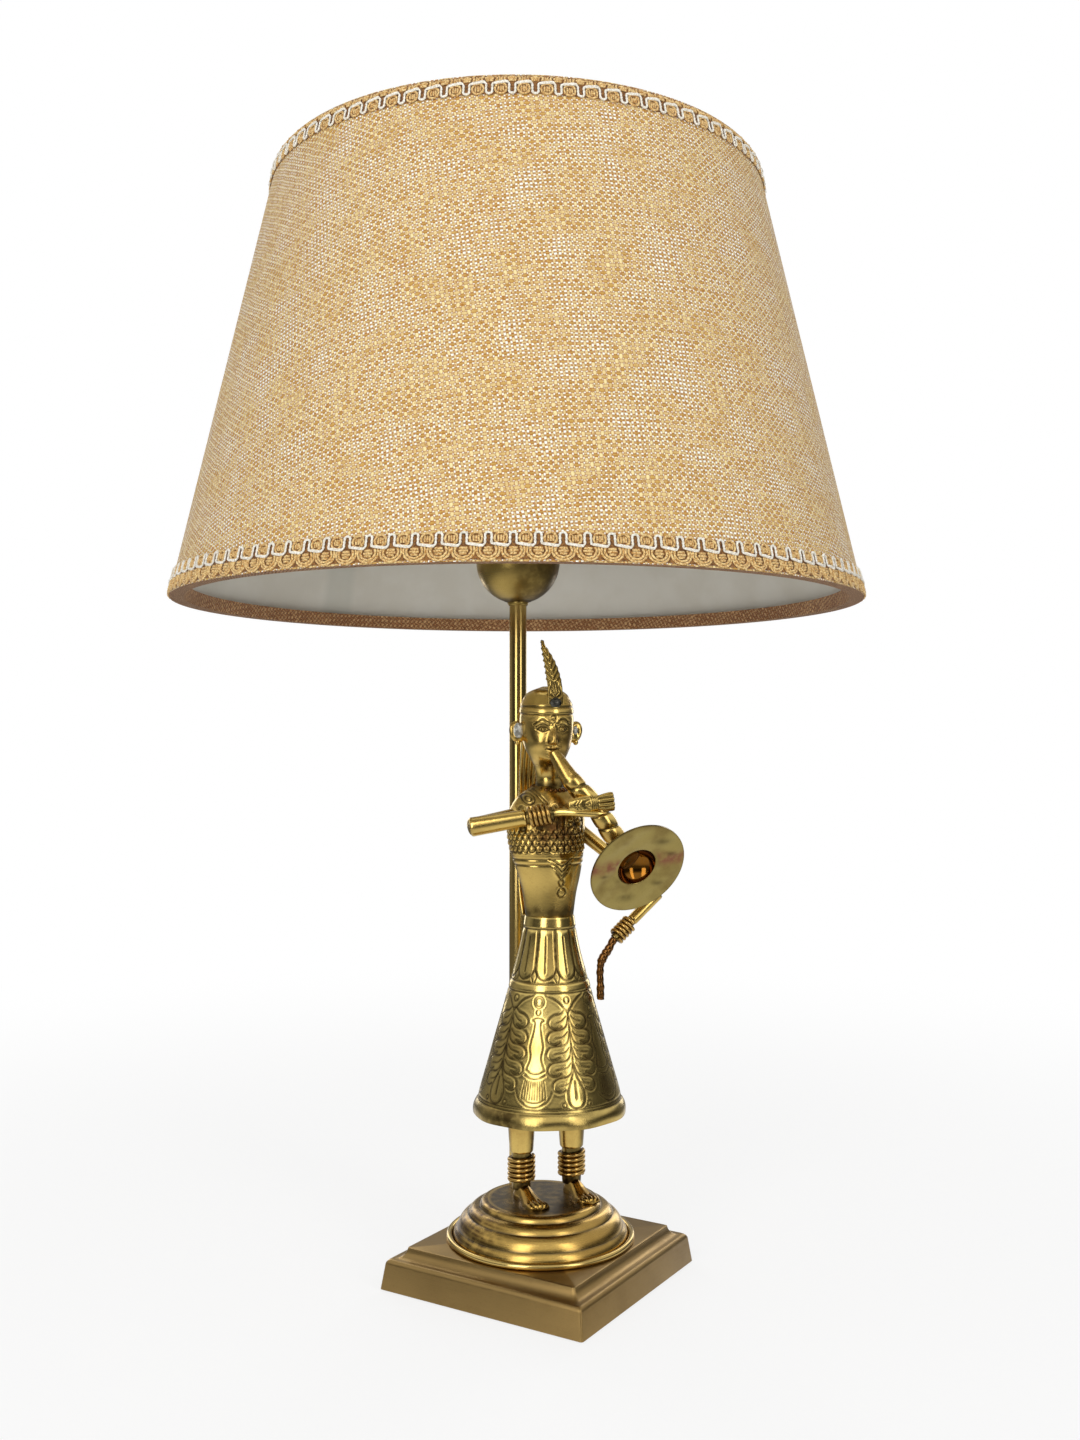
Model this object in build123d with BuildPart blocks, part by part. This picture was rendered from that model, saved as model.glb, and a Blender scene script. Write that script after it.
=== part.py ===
from build123d import *
import math
import os

# Brass table lamp: a folk figure blowing a horn on a stepped base, with a jute shade on a harp.
# Millimetres, +Z up. The origin is on the table, under the axis of the pole and the shade.
# The figure stands in front of the pole, on the -Y side, and looks over a corner of the plinth.

# Plinth, a hollow square block with a cove under its platform
plinth_bottom_half = 54.9
plinth_band_half = 53.2
plinth_platform_half = 45.2
plinth_band_top = 12.9
plinth_top = 19.1
plinth_turn = 45.0
plinth_wall = 1.4
plinth_edge_width = 1.6
plinth_edge_height = 1.4
plinth_edge_sag = 0.4
cove_sag = 1.5
rim_gap = 0.6
felt_thickness = 1.5
plate_thickness = 1.5
plate_clearance = 0.4
boss_reach = 40.0
boss_radius = 4.0
screw_radius = 1.5
screw_head_radius = 2.9
screw_length = 9.0
screw_clearance = 0.08

# Dome that carries the figure, the wire ring round its foot and the stud that holds it down
dome_reach = 51.0
dome_height = 18.4
dome_foot_radius = 42.0
dome_grooves = ((39.9, 6.1), (35.0, 12.1), (29.4, 15.7))
dome_top_radius = 25.2
dome_band_sag = 0.7
dome_wall = 1.4
ring_wire_radius = 1.5
ring_gap = 0.4
stud_radius = 3.0
stud_head_radius = 9.0
stud_head_height = 2.0
stud_nut_height = 5.0
stud_nut_radius = 5.8
thread_tail = 1.2
thread_clearance = 0.08

# Pole, its fixing under the platform and the lead inside it
pole_height = 311.9
pole_radius = 4.5
pole_thread_radius = 4.0
pole_bore_radius = 3.1
pole_washer_radius = 7.0
pole_washer_height = 1.5
pole_nut_height = 4.5
pole_nut_radius = 7.5
collar_height = 4.0
collar_foot_radius = 5.6
collar_top_radius = 7.4
collar_sag = 0.5
bush_radius = 4.4
bush_bore_radius = 3.0
bush_length = 4.4
bush_proud = 0.5
bush_height = 7.8
bush_offset = 24.0
lead_radius = 1.5
lead_bend = 5.0
lead_height = 2.6
block_length = 10.0
block_width = 16.0
block_height = 8.0
block_corner = 1.0
block_reach = 22.0

# Cup under the lamp holder, the harp saddle and the harp
cup_radius = 21.85
cup_seat_radius = 7.6
cup_wall = 1.0
cup_rim_height = 3.4
saddle_width = 12.0
saddle_thickness = 2.0
harp_foot_reach = 25.0
post_radius = 1.6
post_height = 8.0
post_clearance = 0.05
harp_wire_radius = 2.4
harp_straight = 31.0
harp_half_width = 52.0
harp_flare = 37.0
harp_side = 75.0
harp_shoulder = 34.0
harp_top_half = 30.0
harp_bend = 18.0
sleeve_wall = 1.1
sleeve_clearance = 0.3
sleeve_length = 14.0
harp_boss_radius = 7.0
harp_boss_drop = 3.6
harp_boss_rise = 5.0
harp_flange_radius = 11.0
harp_flange_height = 1.5
harp_thread_radius = 3.1
harp_thread_height = 17.5

# Lamp holder with its turn switch, and the bulb
cap_radius = 20.0
cap_height = 10.0
cap_wall = 1.1
holder_clearance = 0.1
shell_wall = 0.8
shell_height = 50.5
base_clearance = 0.4
base_height = 24.5
screw_shell_radius = 14.4
screw_shell_wall = 0.7
screw_shell_height = 24.0
contact_radius = 4.0
contact_height = 1.2
knob_height = 16.0
knob_radius = 5.5
knob_length = 11.0
knob_sides = 10
knob_taper = 4.0
knob_gap = 5.0
knob_shaft_radius = 2.0
knob_shaft_depth = 5.0
knob_clearance = 0.3
bulb_gap = 0.4
bulb_cap_clearance = 0.5
bulb_tip_radius = 4.5
bulb_tip_height = 2.4
bulb_cap_height = 24.0
bulb_radius = 30.0
bulb_neck_angle = 40.0
bulb_glass = 0.8

# Shade: wire rings and spider, liner, jute cover and braid trims
shade_bottom_radius = 176.0
shade_top_radius = 124.8
shade_height = 218.1
shade_drop = 2.1
cover_thickness = 1.0
liner_thickness = 0.6
shade_wire_radius = 2.0
shade_wire_gap = 0.06
cover_fold = 7.0
trim_height = 12.0
trim_thickness = 1.9
trim_rise = 1.0
hub_radius = 12.5
hub_height = 1.6
hub_clearance = 0.5
seat_gap = 0.3
spider_arms = 3
spider_arm_radius = 1.6
spider_root_radius = 0.6
notch_clearance = 0.3
finial_radius = 7.0
finial_height = 20.0
finial_foot_height = 2.0
finial_neck_radius = 4.6
finial_neck_height = 6.0
finial_bore_depth = 16.6

# Figure: heights are above the dome's flat top, its turn is away from straight ahead
figure_x = 4.5
figure_turn = 7.0
foot_turn = 6.0
leg_spread = 13.0
leg_setback = 4.0
leg_height = 70.0
leg_top_radius = 6.9
calf_height = 23.0
calf_step = 1.0
calf_radius = 5.7
anklet_height = 7.2
ankle_radius = 4.7
heel_radius = 4.0
foot_length = 21.0
toe_radius = 2.6
toe_spread = 3.3
foot_height = 7.0
toe_height = 3.4
skirt_hem = 41.9
skirt_hem_radius = 36.9
skirt_rim_height = 7.0
skirt_rim_proud = 0.7
skirt_cone_top = 104.6
skirt_cone_radius = 18.9
skirt_bow_height = 117.6
skirt_bow_radius = 15.2
waist_height = 135.8
waist_radius = 11.7
skirt_wall = 1.5
skirt_top_thickness = 2.0
plate_height = 2.5
plate_gap = 0.05
torso_top = 198.5
torso_sections = (
    (0.0, 11.8, 9.6),
    (11.2, 13.4, 10.4),
    (26.2, 17.2, 12.6),
    (41.7, 19.6, 13.6),
    (52.7, 18.2, 12.2),
    (58.7, 13.5, 9.6),
)
neck_radius = 7.0
head_sections = (
    (5.0, 6.4, 6.3, 0.0),
    (10.5, 6.9, 7.6, 1.5),
    (13.0, 8.2, 9.6, 2.6),
    (18.0, 10.6, 11.6, 2.2),
    (26.0, 12.6, 13.6, 1.2),
    (34.0, 12.9, 14.2, 0.4),
    (41.0, 11.2, 12.4, 0.0),
    (45.5, 7.4, 8.4, 0.0),
    (47.7, 2.4, 2.8, 0.0),
)
feather_base = (-1.7, 13.0, 233.0)
feather_tip = (-6.2, 10.0, 268.4)
feather_base_width = 5.4
feather_bulge = 2.6
feather_hollow = 0.9
feather_thickness = 1.8
ear_height = 225.0
ear_reach = 15.6
ear_half_depth = 3.4
ear_half_height = 6.0
ear_root = 9.0
braid_top = (-11.5, 226.0)
braid_bottom = (-13.0, 134.6)
braid_bow = 7.0
braid_thickness = 1.6
braid_top_half = 10.5
braid_bottom_half = 8.0

# Arms, bangles and horn: points are across, forward and up from the figure's axis on the dome
right_shoulder = (-15.0, 0.0, 190.0)
right_elbow = (-41.5, 4.0, 179.7)
right_wrist = (-5.3, 19.0, 186.4)
right_palm = (2.5, 24.4, 190.0)
right_fingers = (22.2, 30.1, 191.8)
right_arm_radius = 4.6
right_arm_taper = 0.3
right_spigot_radius = 3.15
left_shoulder = (15.0, 1.0, 177.0)
left_elbow = (54.0, 8.6, 145.4)
left_wrist = (29.7, 10.2, 124.4)
left_knuckle = (22.6, 10.8, 113.6)
left_fingers = (22.3, 10.8, 95.7)
left_arm_radius = 3.4
left_arm_taper = 0.4
left_forearm_radius = 2.8
left_spigot_radius = 2.3
wrist_radius = 1.9
hand_half_height = 4.6
hand_thickness = 4.0
hand_root_half = 3.4
hand_tip_radius = 2.0
anklet_wire = 1.8
anklet_pitch = 2.3
bangle_wire = 1.6
bangle_pitch = 2.1
coil_turns = 5
coil_fit = 0.2
horn_path = (
    ((-1.5, 13.2, 214.5), 3.2),
    ((6.4, 18.9, 200.9), 4.5),
    ((19.1, 20.6, 189.8), 5.1),
    ((24.6, 21.4, 178.3), 5.6),
    ((30.6, 22.4, 166.6), 5.6),
)
bell_centre = (32.8, 30.2, 160.8)
bell_facing = (0.09, 0.855, -0.51)
bell_radius = 24.3
bell_flare = 1.4
bell_thickness = 1.0
bowl_radius = 9.0
bowl_depth = 7.6

# Heights and places that follow from those sizes
os.makedirs("parts", exist_ok=True)
bottom_up = (Align.CENTER, Align.CENTER, Align.MIN)
up = Vector(0, 0, 1)
turn = math.radians(plinth_turn)
plinth_across = Vector(math.cos(turn), math.sin(turn), 0)
plinth_along = Vector(-math.sin(turn), math.cos(turn), 0)
dome_axis = Axis((0, -dome_reach, 0), (0, 0, 1))
platform_under = plinth_top - plinth_wall
plate_top = felt_thickness + plate_thickness
plate_half = plinth_band_half - plinth_wall - plate_clearance
dome_top = plinth_top + dome_height
cup_bottom = plinth_top + pole_height
cup_rim = cup_bottom + math.sqrt(cup_radius**2 - cup_seat_radius**2) + cup_rim_height
saddle_top = cup_rim + saddle_thickness
harp_top = saddle_top + harp_straight + harp_flare + harp_side + harp_shoulder
flange_top = harp_top + harp_boss_rise + harp_flange_height
cap_floor = saddle_top + cap_wall
base_top = cap_floor + base_height
shade_bottom = cup_bottom - shade_drop
shade_top = shade_bottom + shade_height
hub_bottom = flange_top + seat_gap
finial_bottom = hub_bottom + hub_height + seat_gap
figure_cos = math.cos(math.radians(figure_turn))
figure_sin = math.sin(math.radians(figure_turn))
figure_across = Vector(figure_cos, figure_sin, 0)
figure_forward = Vector(figure_sin, -figure_cos, 0)
figure_origin = Vector(figure_x, -dome_reach, dome_top)
figure_axis = Axis(figure_origin, up)


def body_point(across, forward, height):
    """Point in the figure's own frame: across to its left hand, forward, and up from the dome."""
    return figure_origin + figure_across * across + figure_forward * forward + up * height


def level(height, across=0.0, forward=0.0):
    """Horizontal plane at a height on the figure, turned as the figure is."""
    return Plane(origin=body_point(across, forward, height), x_dir=figure_across, z_dir=up)


def upright(origin, direction=Vector(1, 0, 0)):
    """Vertical plane through a point, with local X along a direction and local Y up."""
    return Plane(origin=origin, x_dir=direction, z_dir=direction.cross(up))


def plinth_level(height):
    """Horizontal plane at a height over the plinth's middle, square to its sides."""
    return Plane(origin=(0, -dome_reach, height), x_dir=plinth_across, z_dir=up)


def plinth_block(inset):
    """Square block with the plinth's outline moved in and down by the inset."""
    with BuildPart() as block:
        for direction, mode in ((plinth_across, Mode.ADD), (plinth_along, Mode.INTERSECT)):
            with BuildSketch(upright((0, -dome_reach, 0), direction)):
                with BuildLine():
                    foot = Line((0, rim_gap), (plinth_bottom_half - inset, rim_gap))
                    flank = Line(foot @ 1, (plinth_band_half - inset, plinth_band_top - inset))
                    ledge = flank @ 1 + Vector(-plinth_edge_width, plinth_edge_height)
                    edge = SagittaArc(flank @ 1, ledge, -plinth_edge_sag)
                    platform_edge = (plinth_platform_half - inset, plinth_top - inset)
                    cove = SagittaArc(edge @ 1, platform_edge, cove_sag)
                    platform = Line(cove @ 1, (0, plinth_top - inset))
                    Line(platform @ 1, foot @ 0)
                make_face()
                mirror(about=Plane.YZ)
            extrude(amount=plinth_bottom_half, both=True, mode=mode)
    return block.part


def hexagon_nut(plane, corner_radius, height, bore):
    """Hexagon nut standing on a plane, with its flats square to the plane's axes."""
    with BuildPart() as nut:
        with BuildSketch(plane):
            RegularPolygon(corner_radius, 6)
            Circle(bore, mode=Mode.SUBTRACT)
        extrude(amount=height)
    return nut


def tapered_rod(start, end, start_radius, end_radius):
    """Tapered round rod between two points."""
    direction = end - start
    with BuildPart() as rod:
        with Locations(Plane(origin=start, z_dir=direction)):
            Cone(start_radius, end_radius, direction.length, align=bottom_up)
    return rod.part


def biarc(start, start_tangent, end, end_tangent):
    """Joint and tangent there of two arcs that leave and arrive along the given tangents."""
    span = end - start
    both = start_tangent + end_tangent
    a = 2 * start_tangent.dot(end_tangent) - 2
    b = -2 * span.dot(both)
    c = span.dot(span)
    reach = (-b - math.sqrt(b * b - 4 * a * c)) / (2 * a)
    first = start + start_tangent * reach
    second = end - end_tangent * reach
    return (first + second) * 0.5, (second - first).normalized()


def wound_wire(name, plane, mean_radius, wire, pitch):
    """Wire wound round a plane's Z axis, as biarcs of half a turn with a straight lead at each end.

    It prints the least gap between one turn and the next, measured on points along the wire.
    """
    halves = 2 * coil_turns
    rise = pitch / 2
    slope = pitch / (2 * math.pi * mean_radius)
    stations = []
    for step in range(halves + 1):
        angle = math.pi * step
        point = Vector(mean_radius * math.cos(angle), mean_radius * math.sin(angle), rise * step)
        heading = Vector(-math.sin(angle), math.cos(angle), slope).normalized()
        start = plane.from_local_coords(point)
        stations.append((start, plane.from_local_coords(point + heading) - start))
    with BuildPart() as coil:
        with BuildLine() as winding:
            first, first_heading = stations[0]
            Line(first - first_heading * wire, first)
            for (start, leaving), (end, arriving) in zip(stations, stations[1:]):
                joint, heading = biarc(start, leaving, end, arriving)
                TangentArc(start, joint, tangent=leaving)
                TangentArc(joint, end, tangent=heading)
            last, last_heading = stations[-1]
            Line(last, last + last_heading * wire)
        with BuildSketch(Plane(origin=winding.line @ 0, z_dir=winding.line % 0)):
            Circle(wire / 2)
        sweep()
    per_turn = 36
    count = per_turn * coil_turns
    points = [winding.line @ (index / count) for index in range(count + 1)]
    gap = min(
        (points[here] - points[there]).length
        for here in range(count + 1)
        for there in range(here + per_turn // 2, count + 1)
    )
    print(f"{name}: least gap to itself {gap - wire:.2f} mm")
    return coil


def round_profile(points):
    """Closed outline through points given as radius and height, in the current sketch."""
    Polygon(*points, align=None)


# Plinth, its floor plate, felt and screws
plinth_outside = plinth_block(0)
plinth_inside = plinth_block(plinth_wall)
boss_points = ((boss_reach, 0), (0, boss_reach), (-boss_reach, 0), (0, -boss_reach))
bush_outside = plinth_bottom_half + bush_proud
bush_plane = Plane(
    origin=Vector(0, -dome_reach, bush_height) + plinth_across * bush_outside + plinth_along * bush_offset,
    x_dir=plinth_along,
    z_dir=-plinth_across,
)
with BuildPart() as base_plinth:
    add(plinth_outside)
    add(plinth_inside, mode=Mode.SUBTRACT)
    with BuildSketch(plinth_level(plate_top)):
        with Locations(*boss_points):
            Circle(boss_radius)
    extrude(amount=platform_under - plate_top)
    with BuildSketch(plinth_level(plate_top)):
        with Locations(*boss_points):
            Circle(screw_radius + screw_clearance)
    extrude(amount=screw_length, mode=Mode.SUBTRACT)
    with BuildSketch(Plane.XY.offset(platform_under - plinth_wall)):
        Circle(pole_thread_radius + thread_clearance)
        with Locations((0, -dome_reach)):
            Circle(stud_radius + thread_clearance)
    extrude(amount=3 * plinth_wall, mode=Mode.SUBTRACT)
    with BuildSketch(bush_plane):
        Circle(bush_radius)
    extrude(amount=bush_length, mode=Mode.SUBTRACT)

with BuildPart() as base_plate:
    with BuildSketch(plinth_level(felt_thickness)):
        Rectangle(2 * plate_half, 2 * plate_half)
    extrude(amount=plate_thickness)
    with Locations(plinth_level(felt_thickness)):
        with Locations(*boss_points):
            Cone(
                screw_head_radius + screw_clearance,
                screw_radius + screw_clearance,
                plate_thickness,
                align=bottom_up,
                mode=Mode.SUBTRACT,
            )

with BuildPart() as base_plate_screws:
    with Locations(plinth_level(felt_thickness)):
        with Locations(*boss_points):
            Cone(screw_head_radius, screw_radius, plate_thickness, align=bottom_up)
    with BuildSketch(plinth_level(plate_top)):
        with Locations(*boss_points):
            Circle(screw_radius)
    extrude(amount=screw_length)

with BuildPart() as felt_pad:
    with BuildSketch(plinth_level(0)):
        Rectangle(2 * plate_half, 2 * plate_half)
    extrude(amount=felt_thickness)

with BuildPart() as cord_bush:
    with BuildSketch(bush_plane):
        Circle(bush_radius)
        Circle(bush_bore_radius, mode=Mode.SUBTRACT)
    extrude(amount=bush_length)

# Dome with its convex bands, wire ring, and the stud and nut that hold it down
dome_outline = ((dome_foot_radius, 0.0),) + dome_grooves + ((dome_top_radius, dome_height),)
with BuildPart() as pedestal_dome:
    with BuildSketch(upright((0, -dome_reach, plinth_top))):
        with BuildLine():
            for lower, upper in zip(dome_outline, dome_outline[1:]):
                SagittaArc(lower, upper, -dome_band_sag)
            Polyline((dome_top_radius, dome_height), (0, dome_height), (0, dome_height - dome_wall))
            hollow = [(radius - dome_wall, height - dome_wall) for radius, height in dome_outline[1:]]
            Polyline((0, dome_height - dome_wall), *reversed(hollow), (dome_foot_radius - dome_wall, 0))
            Line((dome_foot_radius - dome_wall, 0), (dome_foot_radius, 0))
        make_face()
    revolve(axis=dome_axis)

ring_radius = dome_foot_radius + ring_gap + ring_wire_radius
with BuildPart() as pedestal_ring:
    with Locations((0, -dome_reach, plinth_top + ring_wire_radius)):
        Torus(ring_radius, ring_wire_radius)

stud_top = dome_top - dome_wall
nut_bottom = platform_under - stud_nut_height
with BuildPart() as pedestal_stud:
    with BuildSketch(plinth_level(nut_bottom - thread_tail)):
        Circle(stud_radius)
    extrude(amount=stud_top - nut_bottom + thread_tail)
    with BuildSketch(plinth_level(stud_top - stud_head_height)):
        Circle(stud_head_radius)
    extrude(amount=stud_head_height)

nut_bore = stud_radius + thread_clearance
pedestal_nut = hexagon_nut(plinth_level(nut_bottom), stud_nut_radius, stud_nut_height, nut_bore)

# Pole with its shoulders and threads, washer, nut and collar
pole_washer_bottom = platform_under - pole_washer_height
pole_nut_bottom = pole_washer_bottom - pole_nut_height
pole_foot = pole_nut_bottom - thread_tail
pole_head = cap_floor + thread_tail
with BuildPart() as lamp_pole:
    with BuildSketch(Plane.XY.offset(pole_foot)):
        Circle(pole_thread_radius)
    extrude(amount=pole_head - pole_foot)
    with BuildSketch(Plane.XY.offset(plinth_top)):
        Circle(pole_radius)
    extrude(amount=pole_height)
    with BuildSketch(Plane.XY.offset(pole_foot)):
        Circle(pole_bore_radius)
    extrude(amount=pole_head - pole_foot, mode=Mode.SUBTRACT)

pole_fit = pole_thread_radius + thread_clearance
with BuildPart() as pole_washer:
    with BuildSketch(Plane.XY.offset(pole_washer_bottom)):
        Circle(pole_washer_radius)
        Circle(pole_fit, mode=Mode.SUBTRACT)
    extrude(amount=pole_washer_height)

pole_nut_plane = Plane(origin=(0, 0, pole_nut_bottom), x_dir=plinth_along, z_dir=up)
pole_nut = hexagon_nut(pole_nut_plane, pole_nut_radius, pole_nut_height, pole_fit)

with BuildPart() as pole_collar:
    with BuildSketch(upright((0, 0, cup_bottom - collar_height))):
        with BuildLine():
            Polyline((collar_foot_radius, 0), (pole_radius, 0), (pole_radius, collar_height))
            Line((pole_radius, collar_height), (collar_top_radius, collar_height))
            SagittaArc((collar_top_radius, collar_height), (collar_foot_radius, 0), -collar_sag)
        make_face()
    revolve(axis=Axis.Z)

# Terminal block on the floor plate, and the lead from it up the pole to the lamp holder
with BuildPart() as terminal_block:
    with BuildSketch(Plane((0, -block_reach, plate_top))):
        RectangleRounded(block_width, block_length, block_corner)
    extrude(amount=block_height)

lead_level = plate_top + lead_height
with BuildPart() as lead_wire:
    with BuildLine() as lead_route:
        FilletPolyline(
            (0, block_length / 2 - block_reach, lead_level),
            (0, 0, lead_level),
            (0, 0, pole_head),
            radius=lead_bend,
        )
    with BuildSketch(Plane(origin=lead_route.line @ 0, z_dir=lead_route.line % 0)):
        Circle(lead_radius)
    sweep()

# Cup, harp saddle and harp
cup_centre = cup_rim - cup_rim_height
with BuildPart() as socket_cup:
    with BuildSketch(upright((0, 0, cup_centre))):
        with BuildLine():
            seat_drop = cup_bottom - cup_centre
            inner = cup_radius - cup_wall
            inner_seat = math.sqrt(inner**2 - (seat_drop + cup_wall) ** 2)
            Polyline((inner_seat, seat_drop + cup_wall), (pole_fit, seat_drop + cup_wall))
            Polyline((pole_fit, seat_drop + cup_wall), (pole_fit, seat_drop), (cup_seat_radius, seat_drop))
            RadiusArc((cup_seat_radius, seat_drop), (cup_radius, 0), -cup_radius)
            Polyline((cup_radius, 0), (cup_radius, cup_rim_height), (inner, cup_rim_height), (inner, 0))
            RadiusArc((inner, 0), (inner_seat, seat_drop + cup_wall), inner)
        make_face()
    revolve(axis=Axis.Z)

saddle_reach = harp_foot_reach + harp_wire_radius + sleeve_clearance + sleeve_wall
with BuildPart() as harp_saddle:
    with BuildSketch(Plane.XY.offset(cup_rim)):
        SlotOverall(2 * saddle_reach + saddle_width / 2, saddle_width)
        Circle(pole_fit, mode=Mode.SUBTRACT)
    extrude(amount=saddle_thickness)
    with BuildSketch(Plane.XY.offset(saddle_top)):
        with Locations((-harp_foot_reach, 0), (harp_foot_reach, 0)):
            Circle(post_radius)
    extrude(amount=post_height)

flare_bottom = saddle_top + harp_straight
flare_top = flare_bottom + harp_flare
side_top = flare_top + harp_side
harp_half = (
    (harp_foot_reach, saddle_top),
    (harp_foot_reach, flare_bottom),
    (harp_half_width, flare_top),
    (harp_half_width, side_top),
    (harp_top_half, harp_top),
)
with BuildPart() as harp_wire:
    with BuildLine() as harp_route:
        right_side = [(reach, 0, height) for reach, height in harp_half]
        left_side = [(-reach, 0, height) for reach, height in reversed(harp_half)]
        FilletPolyline(*right_side, *left_side, radius=harp_bend)
    with BuildSketch(Plane(origin=harp_route.line @ 0, z_dir=harp_route.line % 0)):
        Circle(harp_wire_radius)
    sweep()
    with BuildSketch(Plane.XY.offset(saddle_top)):
        with Locations((-harp_foot_reach, 0), (harp_foot_reach, 0)):
            Circle(post_radius + post_clearance)
    extrude(amount=post_height + post_clearance, mode=Mode.SUBTRACT)

with BuildPart() as harp_stud:
    with BuildSketch(Plane.XY.offset(harp_top - harp_boss_drop)):
        Circle(harp_boss_radius)
    extrude(amount=harp_boss_drop + harp_boss_rise)
    with BuildSketch(Plane.XY.offset(harp_top + harp_boss_rise)):
        Circle(harp_flange_radius)
    extrude(amount=harp_flange_height)
    with BuildSketch(Plane.XY.offset(flange_top)):
        Circle(harp_thread_radius)
    extrude(amount=harp_thread_height)
    add(harp_wire.part, mode=Mode.SUBTRACT)

sleeve_bore = harp_wire_radius + sleeve_clearance
harp_sleeves = {}
for side_name, side in (("right", -1), ("left", 1)):
    with BuildPart() as sleeve:
        with BuildSketch(Plane((side * harp_foot_reach, 0, saddle_top + seat_gap))):
            Circle(sleeve_bore + sleeve_wall)
            Circle(sleeve_bore, mode=Mode.SUBTRACT)
        extrude(amount=sleeve_length)
    harp_sleeves[f"{side_name}_harp_sleeve"] = sleeve

# Lamp holder: cap, insulating base, shell, screw shell, contact and turn knob
cap_bore = cap_radius - cap_wall
shell_radius = cap_bore - holder_clearance
shell_bore = shell_radius - shell_wall
base_radius = shell_bore - base_clearance
knob_axis_height = cap_floor + knob_height
shaft_bore = knob_shaft_radius + knob_clearance
knob_plane = Plane(origin=(0, 0, knob_axis_height), x_dir=(1, 0, 0), z_dir=(0, 1, 0))
with BuildPart() as socket_cap:
    with BuildSketch(Plane.XY.offset(saddle_top)):
        Circle(cap_radius)
    extrude(amount=cap_height)
    with BuildSketch(Plane.XY.offset(cap_floor)):
        Circle(cap_bore)
    extrude(amount=cap_height, mode=Mode.SUBTRACT)
    with BuildSketch(Plane.XY.offset(saddle_top)):
        Circle(pole_fit)
    extrude(amount=cap_wall, mode=Mode.SUBTRACT)

with BuildPart() as socket_base:
    with BuildSketch(Plane.XY.offset(cap_floor)):
        Circle(base_radius)
    extrude(amount=base_height)
    with BuildSketch(Plane.XY.offset(cap_floor)):
        Circle(pole_thread_radius + 2 * plate_gap)
    extrude(amount=thread_tail, mode=Mode.SUBTRACT)
    with BuildSketch(knob_plane.offset(base_radius - knob_shaft_depth)):
        Circle(shaft_bore)
    extrude(amount=2 * knob_shaft_depth, mode=Mode.SUBTRACT)

with BuildPart() as socket_shell:
    with BuildSketch(Plane.XY.offset(cap_floor)):
        Circle(shell_radius)
        Circle(shell_bore, mode=Mode.SUBTRACT)
    extrude(amount=shell_height)
    with BuildSketch(knob_plane):
        Circle(shaft_bore)
    extrude(amount=cap_radius, mode=Mode.SUBTRACT)

screw_bore = screw_shell_radius - screw_shell_wall
with BuildPart() as socket_screw_shell:
    with BuildSketch(Plane.XY.offset(base_top)):
        Circle(screw_shell_radius)
        Circle(screw_bore, mode=Mode.SUBTRACT)
    extrude(amount=screw_shell_height)

with BuildPart() as socket_contact:
    with BuildSketch(Plane.XY.offset(base_top)):
        Circle(contact_radius)
    extrude(amount=contact_height)

shaft_start = base_radius - knob_shaft_depth + knob_clearance
knob_start = shell_radius + knob_gap
with BuildPart() as switch_knob:
    with BuildSketch(knob_plane.offset(shaft_start)):
        Circle(knob_shaft_radius)
    extrude(amount=knob_start - shaft_start)
    with BuildSketch(knob_plane.offset(knob_start)):
        RegularPolygon(knob_radius, knob_sides)
    extrude(amount=knob_length, taper=knob_taper)

# Bulb: screw cap and hollow glass
bulb_bottom = base_top + contact_height + bulb_gap
bulb_cap_radius = screw_bore - bulb_cap_clearance
bulb_seat = bulb_bottom + bulb_cap_height
with BuildPart() as bulb_cap:
    with BuildSketch(upright((0, 0, bulb_bottom))):
        shoulder = 2 * bulb_tip_height
        round_profile((
            (0, 0),
            (bulb_tip_radius, 0),
            (bulb_tip_radius, bulb_tip_height),
            (bulb_cap_radius, shoulder),
            (bulb_cap_radius, bulb_cap_height),
            (0, bulb_cap_height),
        ))
    revolve(axis=Axis.Z)

neck_angle = math.radians(bulb_neck_angle)
with BuildPart() as bulb_globe:
    for shrink, mode in ((0.0, Mode.ADD), (bulb_glass, Mode.SUBTRACT)):
        ball = bulb_radius - shrink
        neck = bulb_cap_radius - shrink
        swell = ball * math.cos(neck_angle) - neck
        neck_rise = swell / math.tan(neck_angle / 2)
        ball_height = neck_rise + ball * math.sin(neck_angle)
        with BuildSketch(upright((0, 0, bulb_seat + shrink))):
            with BuildLine():
                waist = (ball * math.cos(neck_angle), neck_rise)
                TangentArc((neck, 0), waist, tangent=(0, 1))
                ThreePointArc(waist, (ball, ball_height), (0, ball_height + ball))
                Polyline((0, ball_height + ball), (0, 0), (neck, 0))
            make_face()
        revolve(axis=Axis.Z, mode=mode)

# Shade: depths are measured square to the cover's outer face
shade_slope = (shade_bottom_radius - shade_top_radius) / shade_height
slant = math.sqrt(1 + shade_slope**2)
liner_depth = cover_thickness + liner_thickness
wire_depth = liner_depth + shade_wire_gap + shade_wire_radius
fold_depth = wire_depth + shade_wire_radius + shade_wire_gap
inner_depth = fold_depth + cover_thickness


def cone_radius(height, depth):
    """Radius of the shade at a height, a depth inside the outer face of its cover."""
    return shade_bottom_radius - shade_slope * (height - shade_bottom) - depth * slant


def shade_points(*places):
    """Outline points of the shade's section, from pairs of height and depth."""
    return [(cone_radius(height, depth), height) for height, depth in places]


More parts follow.
